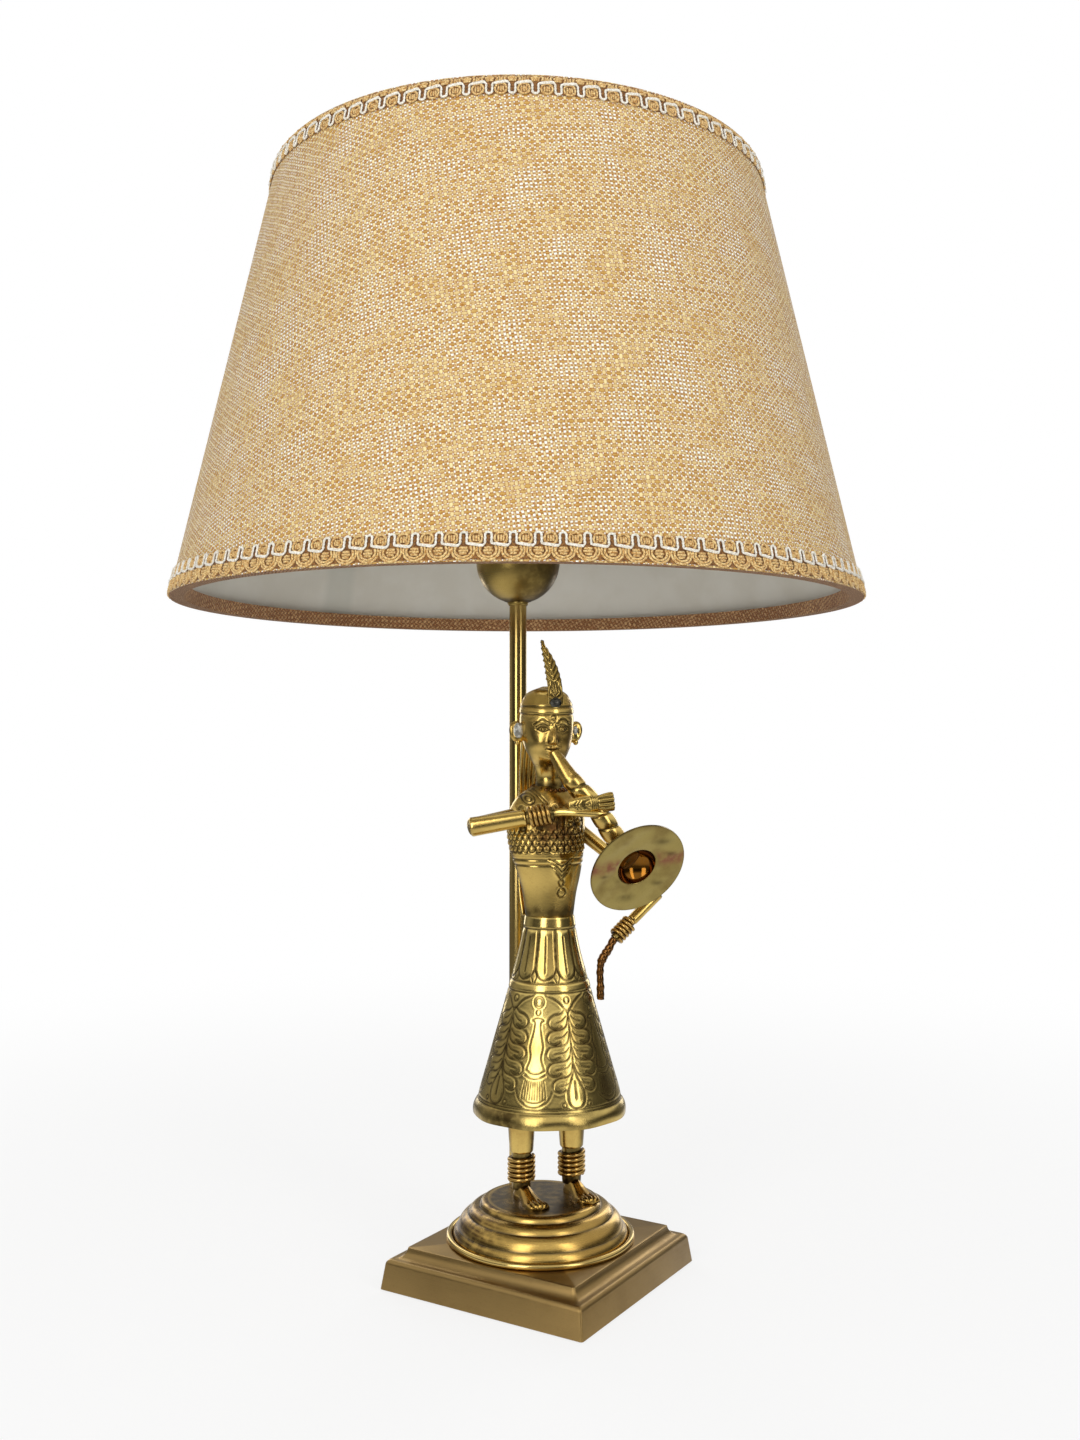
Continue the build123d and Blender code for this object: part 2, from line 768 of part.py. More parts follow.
cover_floor = shade_bottom + cover_thickness
cover_ceiling = shade_top - cover_thickness
wire_inset = shade_wire_radius + shade_wire_gap
bottom_ring_height = cover_floor + wire_inset
top_ring_height = cover_ceiling - wire_inset
top_ring_radius = cone_radius(top_ring_height, wire_depth)
spider_rods = []
spider_notches = []
for arm in range(spider_arms):
    angle = math.radians(90 + 360 * arm / spider_arms)
    outward = Vector(math.cos(angle), math.sin(angle), 0)
    root = outward * (hub_radius - spider_arm_radius) + up * (hub_bottom + hub_height / 2)
    end = outward * top_ring_radius + up * top_ring_height
    spider_rods.append(tapered_rod(root, end, spider_root_radius, spider_arm_radius))
    notch_radius = spider_arm_radius + notch_clearance
    spider_notches.append(tapered_rod(root, end, notch_radius - notch_clearance, notch_radius))
with BuildPart() as shade_fabric:
    with BuildSketch(upright((0, 0, 0))):
        round_profile(shade_points(
            (shade_bottom, 0),
            (shade_top, 0),
            (shade_top, inner_depth),
            (shade_top - cover_fold, inner_depth),
            (shade_top - cover_fold, fold_depth),
            (cover_ceiling, fold_depth),
            (cover_ceiling, cover_thickness),
            (cover_floor, cover_thickness),
            (cover_floor, fold_depth),
            (shade_bottom + cover_fold, fold_depth),
            (shade_bottom + cover_fold, inner_depth),
            (shade_bottom, inner_depth),
        ))
    revolve(axis=Axis.Z)
    add(spider_notches, mode=Mode.SUBTRACT)

with BuildPart() as shade_liner:
    with BuildSketch(upright((0, 0, 0))):
        round_profile(shade_points(
            (cover_floor, cover_thickness),
            (cover_ceiling, cover_thickness),
            (cover_ceiling, liner_depth),
            (cover_floor, liner_depth),
        ))
    revolve(axis=Axis.Z)

with BuildPart() as shade_bottom_ring:
    with Locations((0, 0, bottom_ring_height)):
        Torus(cone_radius(bottom_ring_height, wire_depth), shade_wire_radius)

with BuildPart() as shade_top_ring:
    with Locations((0, 0, top_ring_height)):
        Torus(top_ring_radius, shade_wire_radius)

with BuildPart() as shade_spider:
    add(spider_rods)
    with BuildSketch(Plane.XY.offset(hub_bottom)):
        Circle(hub_radius)
    extrude(amount=hub_height)
    with BuildSketch(Plane.XY.offset(hub_bottom)):
        Circle(harp_thread_radius + hub_clearance)
    extrude(amount=hub_height, mode=Mode.SUBTRACT)
    add(shade_top_ring.part, mode=Mode.SUBTRACT)

shade_trims = {}
for trim_name, trim_bottom in (
    ("shade_bottom_trim", shade_bottom),
    ("shade_top_trim", shade_top + trim_rise - trim_height),
):
    with BuildPart() as trim:
        with BuildSketch(upright((0, 0, 0))):
            round_profile(shade_points(
                (trim_bottom, 0),
                (trim_bottom, -trim_thickness),
                (trim_bottom + trim_height, -trim_thickness),
                (trim_bottom + trim_height, 0),
            ))
        revolve(axis=Axis.Z)
    shade_trims[trim_name] = trim

finial_bore = harp_thread_radius + thread_clearance
finial_neck = (finial_neck_radius, finial_neck_height)
ball_rise = finial_height - finial_neck_height
finial_ball_radius = (finial_neck_radius**2 + ball_rise**2) / (2 * ball_rise)
finial_belly = (finial_ball_radius, finial_height - finial_ball_radius)
with BuildPart() as finial:
    with BuildSketch(upright((0, 0, finial_bottom))):
        with BuildLine():
            Polyline((0, finial_height), (0, finial_bore_depth), (finial_bore, finial_bore_depth))
            Polyline((finial_bore, finial_bore_depth), (finial_bore, 0), (finial_radius, 0))
            Polyline((finial_radius, 0), (finial_radius, finial_foot_height), finial_neck)
            ThreePointArc(finial_neck, finial_belly, (0, finial_height))
        make_face()
    revolve(axis=Axis.Z)

# Legs with their feet, and the wound anklets
anklet_radius = ankle_radius + coil_fit + anklet_wire / 2
legs = {}
for side_name, side in (("right", -1), ("left", 1)):
    leg_base = body_point(side * leg_spread, -leg_setback, 0)
    foot_angle = math.radians(figure_turn + foot_turn)
    foot_across = Vector(math.cos(foot_angle), math.sin(foot_angle), 0)
    foot_forward = Vector(math.sin(foot_angle), -math.cos(foot_angle), 0)
    instep = Plane(
        origin=leg_base + up * foot_height,
        x_dir=foot_across,
        z_dir=up * foot_length + foot_forward * (foot_height - toe_height),
    )
    with BuildPart() as leg:
        with BuildSketch(Plane(origin=leg_base, x_dir=foot_across, z_dir=up)):
            Circle(heel_radius)
            with Locations((-toe_spread, -foot_length), (toe_spread, -foot_length)):
                Circle(toe_radius)
            make_hull()
        extrude(amount=foot_height)
        split(bisect_by=instep, keep=Keep.BOTTOM)
        with BuildSketch(upright(leg_base)):
            round_profile((
                (0, toe_height),
                (heel_radius, toe_height),
                (ankle_radius, foot_height),
                (ankle_radius, calf_height - calf_step),
                (calf_radius, calf_height),
                (leg_top_radius, skirt_hem),
                (leg_top_radius, leg_height),
                (0, leg_height),
            ))
        revolve(axis=Axis(leg_base, up))
    legs[f"{side_name}_leg"] = leg
    anklet_plane = Plane(origin=leg_base + up * (anklet_height + anklet_wire / 2), z_dir=up)
    anklet_name = f"{side_name}_anklet"
    legs[anklet_name] = wound_wire(anklet_name, anklet_plane, anklet_radius, anklet_wire, anklet_pitch)

# Skirt, a hollow cone with a bowed waist and a proud hem, and the plate inside that joins the legs
skirt_slope = (skirt_hem_radius - skirt_cone_radius) / (skirt_cone_top - skirt_hem)
rim_top = skirt_hem + skirt_rim_height
rim_top_radius = skirt_hem_radius - skirt_slope * skirt_rim_height
skirt_ceiling = waist_height - skirt_top_thickness
with BuildPart() as skirt:
    with BuildSketch(upright(figure_origin)):
        with BuildLine():
            Line((skirt_hem_radius - skirt_wall, skirt_hem), (skirt_hem_radius, skirt_hem))
            SagittaArc((skirt_hem_radius, skirt_hem), (rim_top_radius, rim_top), -skirt_rim_proud)
            Line((rim_top_radius, rim_top), (skirt_cone_radius, skirt_cone_top))
            ThreePointArc(
                (skirt_cone_radius, skirt_cone_top),
                (skirt_bow_radius, skirt_bow_height),
                (waist_radius, waist_height),
            )
            Polyline((waist_radius, waist_height), (0, waist_height), (0, skirt_ceiling))
            Polyline((0, skirt_ceiling), (waist_radius - skirt_wall, skirt_ceiling))
            ThreePointArc(
                (waist_radius - skirt_wall, skirt_ceiling),
                (skirt_bow_radius - skirt_wall, skirt_bow_height),
                (skirt_cone_radius - skirt_wall, skirt_cone_top),
            )
            Line((skirt_cone_radius - skirt_wall, skirt_cone_top), (skirt_hem_radius - skirt_wall, skirt_hem))
        make_face()
    revolve(axis=figure_axis)


def skirt_inner_radius(height):
    """Inside radius of the skirt's cone at a height."""
    return skirt_cone_radius - skirt_wall + skirt_slope * (skirt_cone_top - height)


plate_upper = leg_height + plate_height
with BuildPart() as skirt_plate:
    with BuildSketch(upright(figure_origin)):
        round_profile((
            (0, leg_height),
            (skirt_inner_radius(leg_height) - plate_gap, leg_height),
            (skirt_inner_radius(plate_upper) - plate_gap, plate_upper),
            (0, plate_upper),
        ))
    revolve(axis=figure_axis)

# Torso and head, lofted through level ovals
with BuildPart() as torso:
    for rise, half_width, half_depth in torso_sections:
        with BuildSketch(level(waist_height + rise)):
            Ellipse(half_width, half_depth)
    with BuildSketch(level(torso_top)):
        Circle(neck_radius)
    loft()

with BuildPart() as head:
    with BuildSketch(level(torso_top)):
        Circle(neck_radius)
    for rise, half_width, half_depth, forward in head_sections:
        with BuildSketch(level(torso_top + rise, forward=forward)):
            Ellipse(half_width, half_depth)
    loft()

# Feather at the front of the headband, ears, and the plait down the back
feather_lean = body_point(*feather_tip) - body_point(*feather_base)
feather_face = Plane(
    origin=body_point(*feather_base),
    x_dir=figure_across,
    z_dir=figure_across.cross(feather_lean - figure_across * feather_lean.dot(figure_across)),
)
feather_shift = feather_tip[0] - feather_base[0]
feather_rise = (feather_lean - figure_across * feather_shift).length
half_base = feather_base_width / 2
with BuildPart() as feather:
    with BuildSketch(feather_face):
        with BuildLine():
            SagittaArc((-half_base, 0), (feather_shift, feather_rise), -feather_hollow)
            SagittaArc((feather_shift, feather_rise), (half_base, 0), feather_bulge)
            Line((half_base, 0), (-half_base, 0))
        make_face()
    extrude(amount=feather_thickness)
    add(head.part, mode=Mode.SUBTRACT)

with BuildPart() as ears:
    for side in (-1, 1):
        ear_plane = Plane(
            origin=body_point(side * ear_root, 0, ear_height),
            x_dir=figure_forward,
            z_dir=figure_across * side,
        )
        with BuildSketch(ear_plane):
            Ellipse(ear_half_depth, ear_half_height)
        extrude(amount=ear_reach - ear_root)
    add(head.part, mode=Mode.SUBTRACT)

back_plane = upright(figure_origin, figure_forward)
face_plane = upright(body_point(0, 0, 0), figure_across)
half_braid = braid_thickness / 2
with BuildPart() as hair_braid:
    with BuildSketch(back_plane):
        with BuildLine():
            top_back = (braid_top[0] - half_braid, braid_top[1])
            top_front = (braid_top[0] + half_braid, braid_top[1])
            bottom_back = (braid_bottom[0] - half_braid, braid_bottom[1])
            bottom_front = (braid_bottom[0] + half_braid, braid_bottom[1])
            SagittaArc(bottom_back, top_back, braid_bow)
            Line(top_back, top_front)
            SagittaArc(bottom_front, top_front, braid_bow)
            Line(bottom_back, bottom_front)
        make_face()
    extrude(amount=braid_top_half, both=True)
    with BuildSketch(face_plane):
        round_profile((
            (-braid_bottom_half, braid_bottom[1]),
            (braid_bottom_half, braid_bottom[1]),
            (braid_top_half, braid_top[1]),
            (-braid_top_half, braid_top[1]),
        ))
    extrude(amount=4 * braid_bow, both=True, mode=Mode.INTERSECT)
    add(head.part, mode=Mode.SUBTRACT)
    add(torso.part, mode=Mode.SUBTRACT)

# Horn: a tube that widens to the soldered bell with its bowl
bell_origin = body_point(*bell_centre)
bell_axis = (body_point(*bell_facing) - body_point(0, 0, 0)).normalized()
bell_side = up.cross(bell_axis).normalized()
bell_plane = Plane(origin=bell_origin, x_dir=bell_side, z_dir=bell_side.cross(bell_axis))
with BuildPart() as horn_bell:
    with BuildSketch(bell_plane):
        with BuildLine():
            bowl_outer = bowl_radius + bell_thickness
            TangentArc((0, -bowl_depth), (bowl_radius, 0), tangent=(1, 0))
            Polyline(
                (bowl_radius, 0),
                (bell_radius, bell_flare),
                (bell_radius, bell_flare - bell_thickness),
                (bowl_outer, -bell_thickness),
            )
            TangentArc((0, -bowl_depth - bell_thickness), (bowl_outer, -bell_thickness), tangent=(1, 0))
            Line((0, -bowl_depth - bell_thickness), (0, -bowl_depth))
        make_face()
    revolve(axis=Axis(bell_origin, bell_axis))

with BuildPart() as bell_space:
    with BuildSketch(bell_plane):
        with BuildLine():
            TangentArc((0, -bowl_depth - bell_thickness), (bowl_outer, -bell_thickness), tangent=(1, 0))
            Polyline(
                (bowl_outer, -bell_thickness),
                (bell_radius, bell_flare - bell_thickness),
                (bell_radius, bell_radius),
                (0, bell_radius),
                (0, -bowl_depth - bell_thickness),
            )
        make_face()
    revolve(axis=Axis(bell_origin, bell_axis))

horn_points = [body_point(*place) for place, radius in horn_path]
with BuildPart() as horn_tube:
    for index, (place, radius) in enumerate(horn_path):
        before = horn_points[max(index - 1, 0)]
        after = horn_points[min(index + 1, len(horn_points) - 1)]
        with BuildSketch(Plane(origin=horn_points[index], x_dir=figure_across, z_dir=after - before)):
            Circle(radius)
    loft()
    add(head.part, mode=Mode.SUBTRACT)
    add(bell_space.part, mode=Mode.SUBTRACT)

# Right arm: folded tube, wound bangles, and the hand laid over the horn
coil_start = coil_fit + bangle_wire / 2
bangle_length = coil_turns * bangle_pitch + 2 * coil_start
shoulder_point = body_point(*right_shoulder)
elbow_point = body_point(*right_elbow)
wrist_point = body_point(*right_wrist)
right_along = (wrist_point - elbow_point).normalized()
cuff_point = wrist_point - right_along * bangle_length
slim_radius = right_arm_radius - right_arm_taper
right_sleeve_rod = tapered_rod(elbow_point, cuff_point, right_arm_radius, slim_radius)
right_spigot_rod = tapered_rod(cuff_point, wrist_point, right_spigot_radius, right_spigot_radius - plate_gap)
with BuildPart() as right_forearm:
    add(right_sleeve_rod)
    add(right_spigot_rod)

right_upper_rod = tapered_rod(elbow_point, shoulder_point, slim_radius, right_arm_radius)
with BuildPart() as right_upper_arm:
    add(right_upper_rod)
    add(right_forearm.part, mode=Mode.SUBTRACT)
    add(torso.part, mode=Mode.SUBTRACT)

right_coil_radius = right_spigot_radius + coil_start
right_coil_plane = Plane(origin=cuff_point + right_along * coil_start, z_dir=right_along)
right_bangles = wound_wire("right_bangles", right_coil_plane, right_coil_radius, bangle_wire, bangle_pitch)

palm_point = body_point(*right_palm)
finger_point = body_point(*right_fingers)
hand_along = (finger_point - palm_point).normalized()
hand_facing = up.cross(hand_along).normalized() * -1
hand_length = (finger_point - palm_point).length
wrist_rod = tapered_rod(wrist_point, palm_point, wrist_radius, wrist_radius + plate_gap)
with BuildPart() as right_hand:
    with BuildSketch(Plane(origin=palm_point, x_dir=hand_along, z_dir=hand_facing)) as hand_outline:
        round_profile((
            (-hand_root_half, -hand_root_half),
            (hand_length, -hand_half_height),
            (hand_length, hand_half_height),
            (-hand_root_half, hand_root_half),
        ))
        fillet(hand_outline.vertices(), hand_tip_radius)
    extrude(amount=hand_thickness / 2, both=True)
    add(wrist_rod)
    add(right_forearm.part, mode=Mode.SUBTRACT)

# Left arm: behind the bell, with bangles and a slim hand hanging beside the skirt
left_shoulder_point = body_point(*left_shoulder)
left_elbow_point = body_point(*left_elbow)
left_wrist_point = body_point(*left_wrist)
left_along = (left_wrist_point - left_elbow_point).normalized()
left_cuff_point = left_wrist_point - left_along * bangle_length
left_slim_radius = left_arm_radius - left_arm_taper
left_upper_rod = tapered_rod(left_shoulder_point, left_elbow_point, left_arm_radius, left_slim_radius)
with BuildPart() as left_upper_arm:
    add(left_upper_rod)
    with Locations(left_elbow_point):
        Sphere(left_slim_radius)
    add(torso.part, mode=Mode.SUBTRACT)

left_forearm_rod = tapered_rod(
    left_elbow_point, left_cuff_point, left_forearm_radius, left_forearm_radius - plate_gap
)
left_spigot_rod = tapered_rod(
    left_cuff_point, left_wrist_point, left_spigot_radius, left_spigot_radius - plate_gap
)
with BuildPart() as left_forearm:
    add(left_forearm_rod)
    add(left_spigot_rod)
    add(left_upper_arm.part, mode=Mode.SUBTRACT)

left_coil_radius = left_spigot_radius + coil_start
left_coil_plane = Plane(origin=left_cuff_point + left_along * coil_start, z_dir=left_along)
left_bangles = wound_wire("left_bangles", left_coil_plane, left_coil_radius, bangle_wire, bangle_pitch)

knuckle_point = body_point(*left_knuckle)
left_palm_rod = tapered_rod(left_wrist_point, knuckle_point, wrist_radius, hand_tip_radius)
left_finger_rod = tapered_rod(knuckle_point, body_point(*left_fingers), hand_tip_radius, wrist_radius)
with BuildPart() as left_hand:
    add(left_palm_rod)
    add(left_finger_rod)
    with Locations(knuckle_point):
        Sphere(hand_tip_radius + plate_gap)
    add(left_forearm.part, mode=Mode.SUBTRACT)

pieces = {
    "base_plinth": base_plinth,
    "base_plate": base_plate,
    "base_plate_screws": base_plate_screws,
    "felt_pad": felt_pad,
    "cord_bush": cord_bush,
    "terminal_block": terminal_block,
    "lead_wire": lead_wire,
    "pedestal_dome": pedestal_dome,
    "pedestal_ring": pedestal_ring,
    "pedestal_stud": pedestal_stud,
    "pedestal_nut": pedestal_nut,
    "lamp_pole": lamp_pole,
    "pole_washer": pole_washer,
    "pole_nut": pole_nut,
    "pole_collar": pole_collar,
    "socket_cup": socket_cup,
    "harp_saddle": harp_saddle,
    "harp_wire": harp_wire,
    "harp_stud": harp_stud,
    "socket_cap": socket_cap,
    "socket_base": socket_base,
    "socket_shell": socket_shell,
    "socket_screw_shell": socket_screw_shell,
    "socket_contact": socket_contact,
    "switch_knob": switch_knob,
    "bulb_cap": bulb_cap,
    "bulb_globe": bulb_globe,
    "finial": finial,
    "shade_fabric": shade_fabric,
    "shade_liner": shade_liner,
    "shade_bottom_ring": shade_bottom_ring,
    "shade_top_ring": shade_top_ring,
    "shade_spider": shade_spider,
    "skirt": skirt,
    "skirt_plate": skirt_plate,
    "torso": torso,
    "head": head,
    "feather": feather,
    "ears": ears,
    "hair_braid": hair_braid,
    "horn_tube": horn_tube,
    "horn_bell": horn_bell,
    "right_upper_arm": right_upper_arm,
    "right_forearm": right_forearm,
    "right_bangles": right_bangles,
    "right_hand": right_hand,
    "left_upper_arm": left_upper_arm,
    "left_forearm": left_forearm,
    "left_bangles": left_bangles,
    "left_hand": left_hand,
    **harp_sleeves,
    **shade_trims,
    **legs,
}
for piece_name, piece in pieces.items():
    piece.part.label = piece_name
    export_step(piece.part, f"parts/{piece_name}.step")
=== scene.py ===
"""Looks of a brass table lamp: a horn blower on a stepped base, under a jute shade on a harp.

Shapes are modelled in millimetres and put in the frame, in metres, when they become pieces.
"""

import logging
import math
from dataclasses import dataclass, field
from enum import Enum
from functools import cache
from typing import Sequence

import bmesh
import bpy
import numpy as np
from mathutils import Matrix, Vector


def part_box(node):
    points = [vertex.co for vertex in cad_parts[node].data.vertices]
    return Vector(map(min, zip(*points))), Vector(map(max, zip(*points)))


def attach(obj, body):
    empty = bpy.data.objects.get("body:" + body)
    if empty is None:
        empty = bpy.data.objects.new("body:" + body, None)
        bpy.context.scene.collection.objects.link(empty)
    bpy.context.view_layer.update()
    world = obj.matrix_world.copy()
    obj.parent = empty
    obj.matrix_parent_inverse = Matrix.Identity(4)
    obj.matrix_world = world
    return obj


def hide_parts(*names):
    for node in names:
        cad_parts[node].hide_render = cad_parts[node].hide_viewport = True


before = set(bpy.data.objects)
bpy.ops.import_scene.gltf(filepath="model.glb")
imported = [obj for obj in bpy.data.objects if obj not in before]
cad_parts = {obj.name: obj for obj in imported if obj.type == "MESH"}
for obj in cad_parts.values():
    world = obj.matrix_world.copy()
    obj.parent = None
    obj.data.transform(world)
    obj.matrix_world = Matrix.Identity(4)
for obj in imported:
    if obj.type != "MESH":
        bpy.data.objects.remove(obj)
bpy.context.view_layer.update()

LOG = logging.getLogger("lamp")
MM = 0.001
Point2 = tuple[float, float]
Point3 = tuple[float, float, float]
Point4 = tuple[float, float, float, float]
Colour = Point4
Display = tuple[int, int, int]
Values = np.ndarray
Shape = bmesh.types.BMesh
Mesh = bpy.types.Mesh
Piece = bpy.types.Object
Node = bpy.types.Node
Socket = bpy.types.NodeSocket
Material = bpy.types.Material
TO_METRES = Matrix.Scale(MM, 4)

# Place that no line of a relief reaches, in millimetres
FAR = 999.0
# Angle of the camera's side about the lamp's axis, in radians
CAMERA_TURN = -0.232
# How far the base's middle is ahead of the pole, in millimetres
BASE_FORWARD = 51.0


class Body(Enum):
    """Moving bodies that pieces ride on."""

    BASE = "base"
    SHADE = "shade"


class Edge(Enum):
    """Edge of the shade that a braid trims."""

    BOTTOM = "bottom"
    TOP = "top"


def linear(display: Display) -> Colour:
    """Linear colour of a display colour.

    Args:
        display: Red, green and blue, 0 to 255.

    Returns:
        The linear colour with full alpha.
    """
    parts = [value / 255 for value in display]
    low = [value / 12.92 if value <= 0.04045 else ((value + 0.055) / 1.055) ** 2.4 for value in parts]
    return (low[0], low[1], low[2], 1.0)


def span(node: str) -> tuple[Vector, Vector]:
    """Lowest and highest corner of a construction node, in millimetres."""
    low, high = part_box(node)
    return low / MM, high / MM


# Curves and outlines


def bowed(start: Point2, end: Point2, sag: float, count: int) -> list[Point2]:
    """Points of a shallow bow between two points, without its last point.

    Args:
        start: First point.
        end: Last point.
        sag: Height of the bow, positive to the left of the way.
        count: How many points.

    Returns:
        The points.
    """
    across, up = end[0] - start[0], end[1] - start[1]
    length = math.hypot(across, up)
    points = []
    for step in range(count):
        share = step / count
        lift = sag * 4 * share * (1 - share) / length
        points.append((start[0] + across * share - up * lift, start[1] + up * share + across * lift))
    return points


def flow(places: Values, stations: Sequence[Point2]) -> Values:
    """Smooth curve through stations.

    Args:
        places: Where to read the curve.
        stations: Pairs of place and value, in rising order.

    Returns:
        The curve's values.
    """
    xs, ys = np.array(stations, float).T
    slopes = np.gradient(ys, xs)
    index = np.clip(np.searchsorted(xs, places) - 1, 0, len(xs) - 2)
    width = xs[index + 1] - xs[index]
    t = np.clip((places - xs[index]) / width, 0, 1)
    rise = t * t * (3 - 2 * t)
    leave = t * (1 - t) ** 2 * width * slopes[index]
    arrive = t * t * (t - 1) * width * slopes[index + 1]
    return ys[index] * (1 - rise) + ys[index + 1] * rise + leave + arrive


def curve(points: Sequence[Sequence[float]], count: int = 8) -> Values:
    """Smooth line through points of any dimension.

    Args:
        points: Points that the line passes.
        count: Steps from one point to the next.

    Returns:
        One row per point of the line.
    """
    stations = np.arange(len(points))
    places = np.linspace(0, len(points) - 1, count * (len(points) - 1) + 1)
    columns = np.array(points, float).T
    return np.stack([flow(places, list(zip(stations, column))) for column in columns], axis=1)


def smooth_step(values: Values, low: float, high: float) -> Values:
    """Soft step from 0 at low to 1 at high."""
    t = np.clip((values - low) / (high - low), 0, 1)
    return t * t * (3 - 2 * t)


def hump(values: Values, middle: float, width: float) -> Values:
    """Soft hump that is 1 at its middle."""
    return np.exp(-(((values - middle) / width) ** 2))


# Mesh building


def read(items: Sequence, what: str) -> Values:
    """Three values of each vertex or face of a mesh.

    Args:
        items: The vertices or the faces.
        what: Property to read.

    Returns:
        One row per item.
    """
    flat = np.empty(len(items) * 3)
    items.foreach_get(what, flat)
    return flat.reshape(-1, 3)


def lathe(outline: Sequence[Point2], steps: int, closed: bool = False) -> Shape:
    """Turn an outline about the Z axis.

    Args:
        outline: Pairs of radius and height.
        steps: Facets around.
        closed: Whether the outline's end joins its start.

    Returns:
        The turned shape.
    """
    shape = bmesh.new()
    verts = [shape.verts.new((radius, 0.0, height)) for radius, height in outline]
    edges = [shape.edges.new(pair) for pair in zip(verts, verts[1:])]
    if closed:
        edges.append(shape.edges.new((verts[-1], verts[0])))
    bmesh.ops.spin(
        shape, geom=verts + edges, cent=(0, 0, 0), axis=(0, 0, 1), dvec=(0, 0, 0), angle=math.tau,
        space=Matrix.Identity(4), steps=steps, use_merge=True, use_normal_flip=False, use_duplicate=False,
    )
    bmesh.ops.remove_doubles(shape, verts=shape.verts, dist=1e-4)
    bmesh.ops.recalc_face_normals(shape, faces=shape.faces)
    return shape


def coil(mean: float, wire: float, pitch: float, turns: int, steps: int = 30) -> Shape:
    """Wind a round wire about the Z axis.

    Args:
        mean: Radius at the wire's middle.
        wire: Diameter of the wire.
        pitch: Rise of one turn.
        turns: How many turns.
        steps: Steps in one turn.

    Returns:
        The winding, closed at both ends.
    """
    shape = bmesh.new()
    across = Matrix.Translation((mean, 0, 0)) @ Matrix.Rotation(math.pi / 2, 4, "X")
    ring = bmesh.ops.create_circle(shape, cap_ends=True, segments=10, radius=wire / 2, matrix=across)
    start = [face for vert in ring["verts"] for face in vert.link_faces][:1]
    bmesh.ops.spin(
        shape, geom=start + ring["verts"] + shape.edges[:], cent=(0, 0, 0), axis=(0, 0, 1),
        dvec=(0, 0, pitch / steps), angle=math.tau * turns, space=Matrix.Identity(4), steps=steps * turns,
        use_merge=False, use_normal_flip=False, use_duplicate=False,
    )
    bmesh.ops.holes_fill(shape, edges=shape.edges, sides=0)
    bmesh.ops.recalc_face_normals(shape, faces=shape.faces)
    return shape


def along(start: Point3, end: Point3) -> Matrix:
    """Place that takes the Z axis to the way from start to end."""
    way = Vector(end) - Vector(start)
    return Matrix.Translation(start) @ way.to_track_quat("Z", "Y").to_matrix().to_4x4()


def to_axes(side: Vector, way: Vector) -> Matrix:
    """Turn that takes the X axis to a side and the Z axis to a way."""
    return Matrix((side, way.cross(side), way)).transposed().to_4x4()


def oval(middle: Sequence[float], size: Point3) -> Matrix:
    """Place that makes a ball of radius 1 an oval."""
    return Matrix.Translation(middle) @ Matrix.Diagonal((*size, 1))


def rod_outline(length: float, first: float, last: float, edge: float, rows: int) -> list[Point2]:
    """Outline of a round rod with softened ends.

    Args:
        length: Length of the rod.
        first: Radius at its start.
        last: Radius at its end.
        edge: Size of the softened edges.
        rows: Rows between the ends.

    Returns:
        Pairs of radius and height, from axis to axis.
    """
    points = [(0.0, 0.0), (first - edge, 0.0), (first - 0.3 * edge, 0.3 * edge)]
    for row in range(rows + 1):
        share = row / rows
        points.append((first + (last - first) * share, edge + (length - 2 * edge) * share))
    return points + [(last - 0.3 * edge, length - 0.3 * edge), (last - edge, length), (0.0, length)]


class Skin:
    """Points of one mesh with what is carved into it.

    Attributes:
        mesh: The mesh.
        points: One row per vertex, in millimetres.
        height: Rise along the normal, per vertex.
        dirt_and_shade: How far each vertex is darkened, 0 to 1, for dirt in its lines and for painted shade.
        stain: How far the vertex is stained red-brown, 0 to 1.
    """

    def __init__(self, shape: Shape, name: str) -> None:
        """Take over a shape.

        Args:
            shape: Shape to keep as a mesh, which is freed.
            name: Name of the mesh.
        """
        self.mesh = bpy.data.meshes.new(name)
        shape.to_mesh(self.mesh)
        shape.free()
        self.points = read(self.mesh.vertices, "co")
        self.height = np.zeros(len(self.points))
        self.dirt_and_shade = np.zeros(len(self.points))
        self.stain = np.zeros(len(self.points))

    def write(self) -> None:
        """Put the points back into the mesh."""
        self.mesh.vertices.foreach_set("co", self.points.ravel())
        self.mesh.update()

    def facing(self) -> Values:
        """Angle of each point about the Z axis, in degrees from straight ahead."""
        return np.degrees(np.arctan2(self.points[:, 0], -self.points[:, 1]))

    def reach(self) -> Values:
        """Distance of each point from the Z axis."""
        return np.hypot(self.points[:, 0], self.points[:, 1])

    def add_dirt_and_shade(self, share: Values) -> None:
        """Darken each point at least this far; callers use it for dirt and for painted shade."""
        self.dirt_and_shade = np.maximum(self.dirt_and_shade, share)

    def score(self, cut: Values, depth: float, dirt: float) -> None:
        """Cut lines to a depth and fill them with a share of dirt."""
        self.height -= depth * cut
        self.add_dirt_and_shade(dirt * cut)

    def raise_skin(self) -> None:
        """Move each point by its height along its normal, and level the heights."""
        self.write()
        self.points += read(self.mesh.vertices, "normal") * self.height[:, None]
        self.height = np.zeros(len(self.points))
        self.write()

    def move(self, place: Matrix) -> None:
        """Take the points to a place."""
        turned = np.array(place)
        self.points = self.points @ turned[:3, :3].T + turned[:3, 3]

    def store(self, name: str, values: Values) -> None:
        """Keep values on the mesh as a point attribute."""
        layer = self.mesh.attributes.new(name, "FLOAT", "POINT")
        layer.data.foreach_set("value", np.clip(values, 0, 1).astype(np.float32))

    def finish(self) -> Mesh:
        """Carve the heights in and store what the finishes read.

        Returns:
            The finished mesh.
        """
        self.raise_skin()
        self.store("dirt_and_shade", self.dirt_and_shade)
        self.store("stain", self.stain)
        return self.mesh


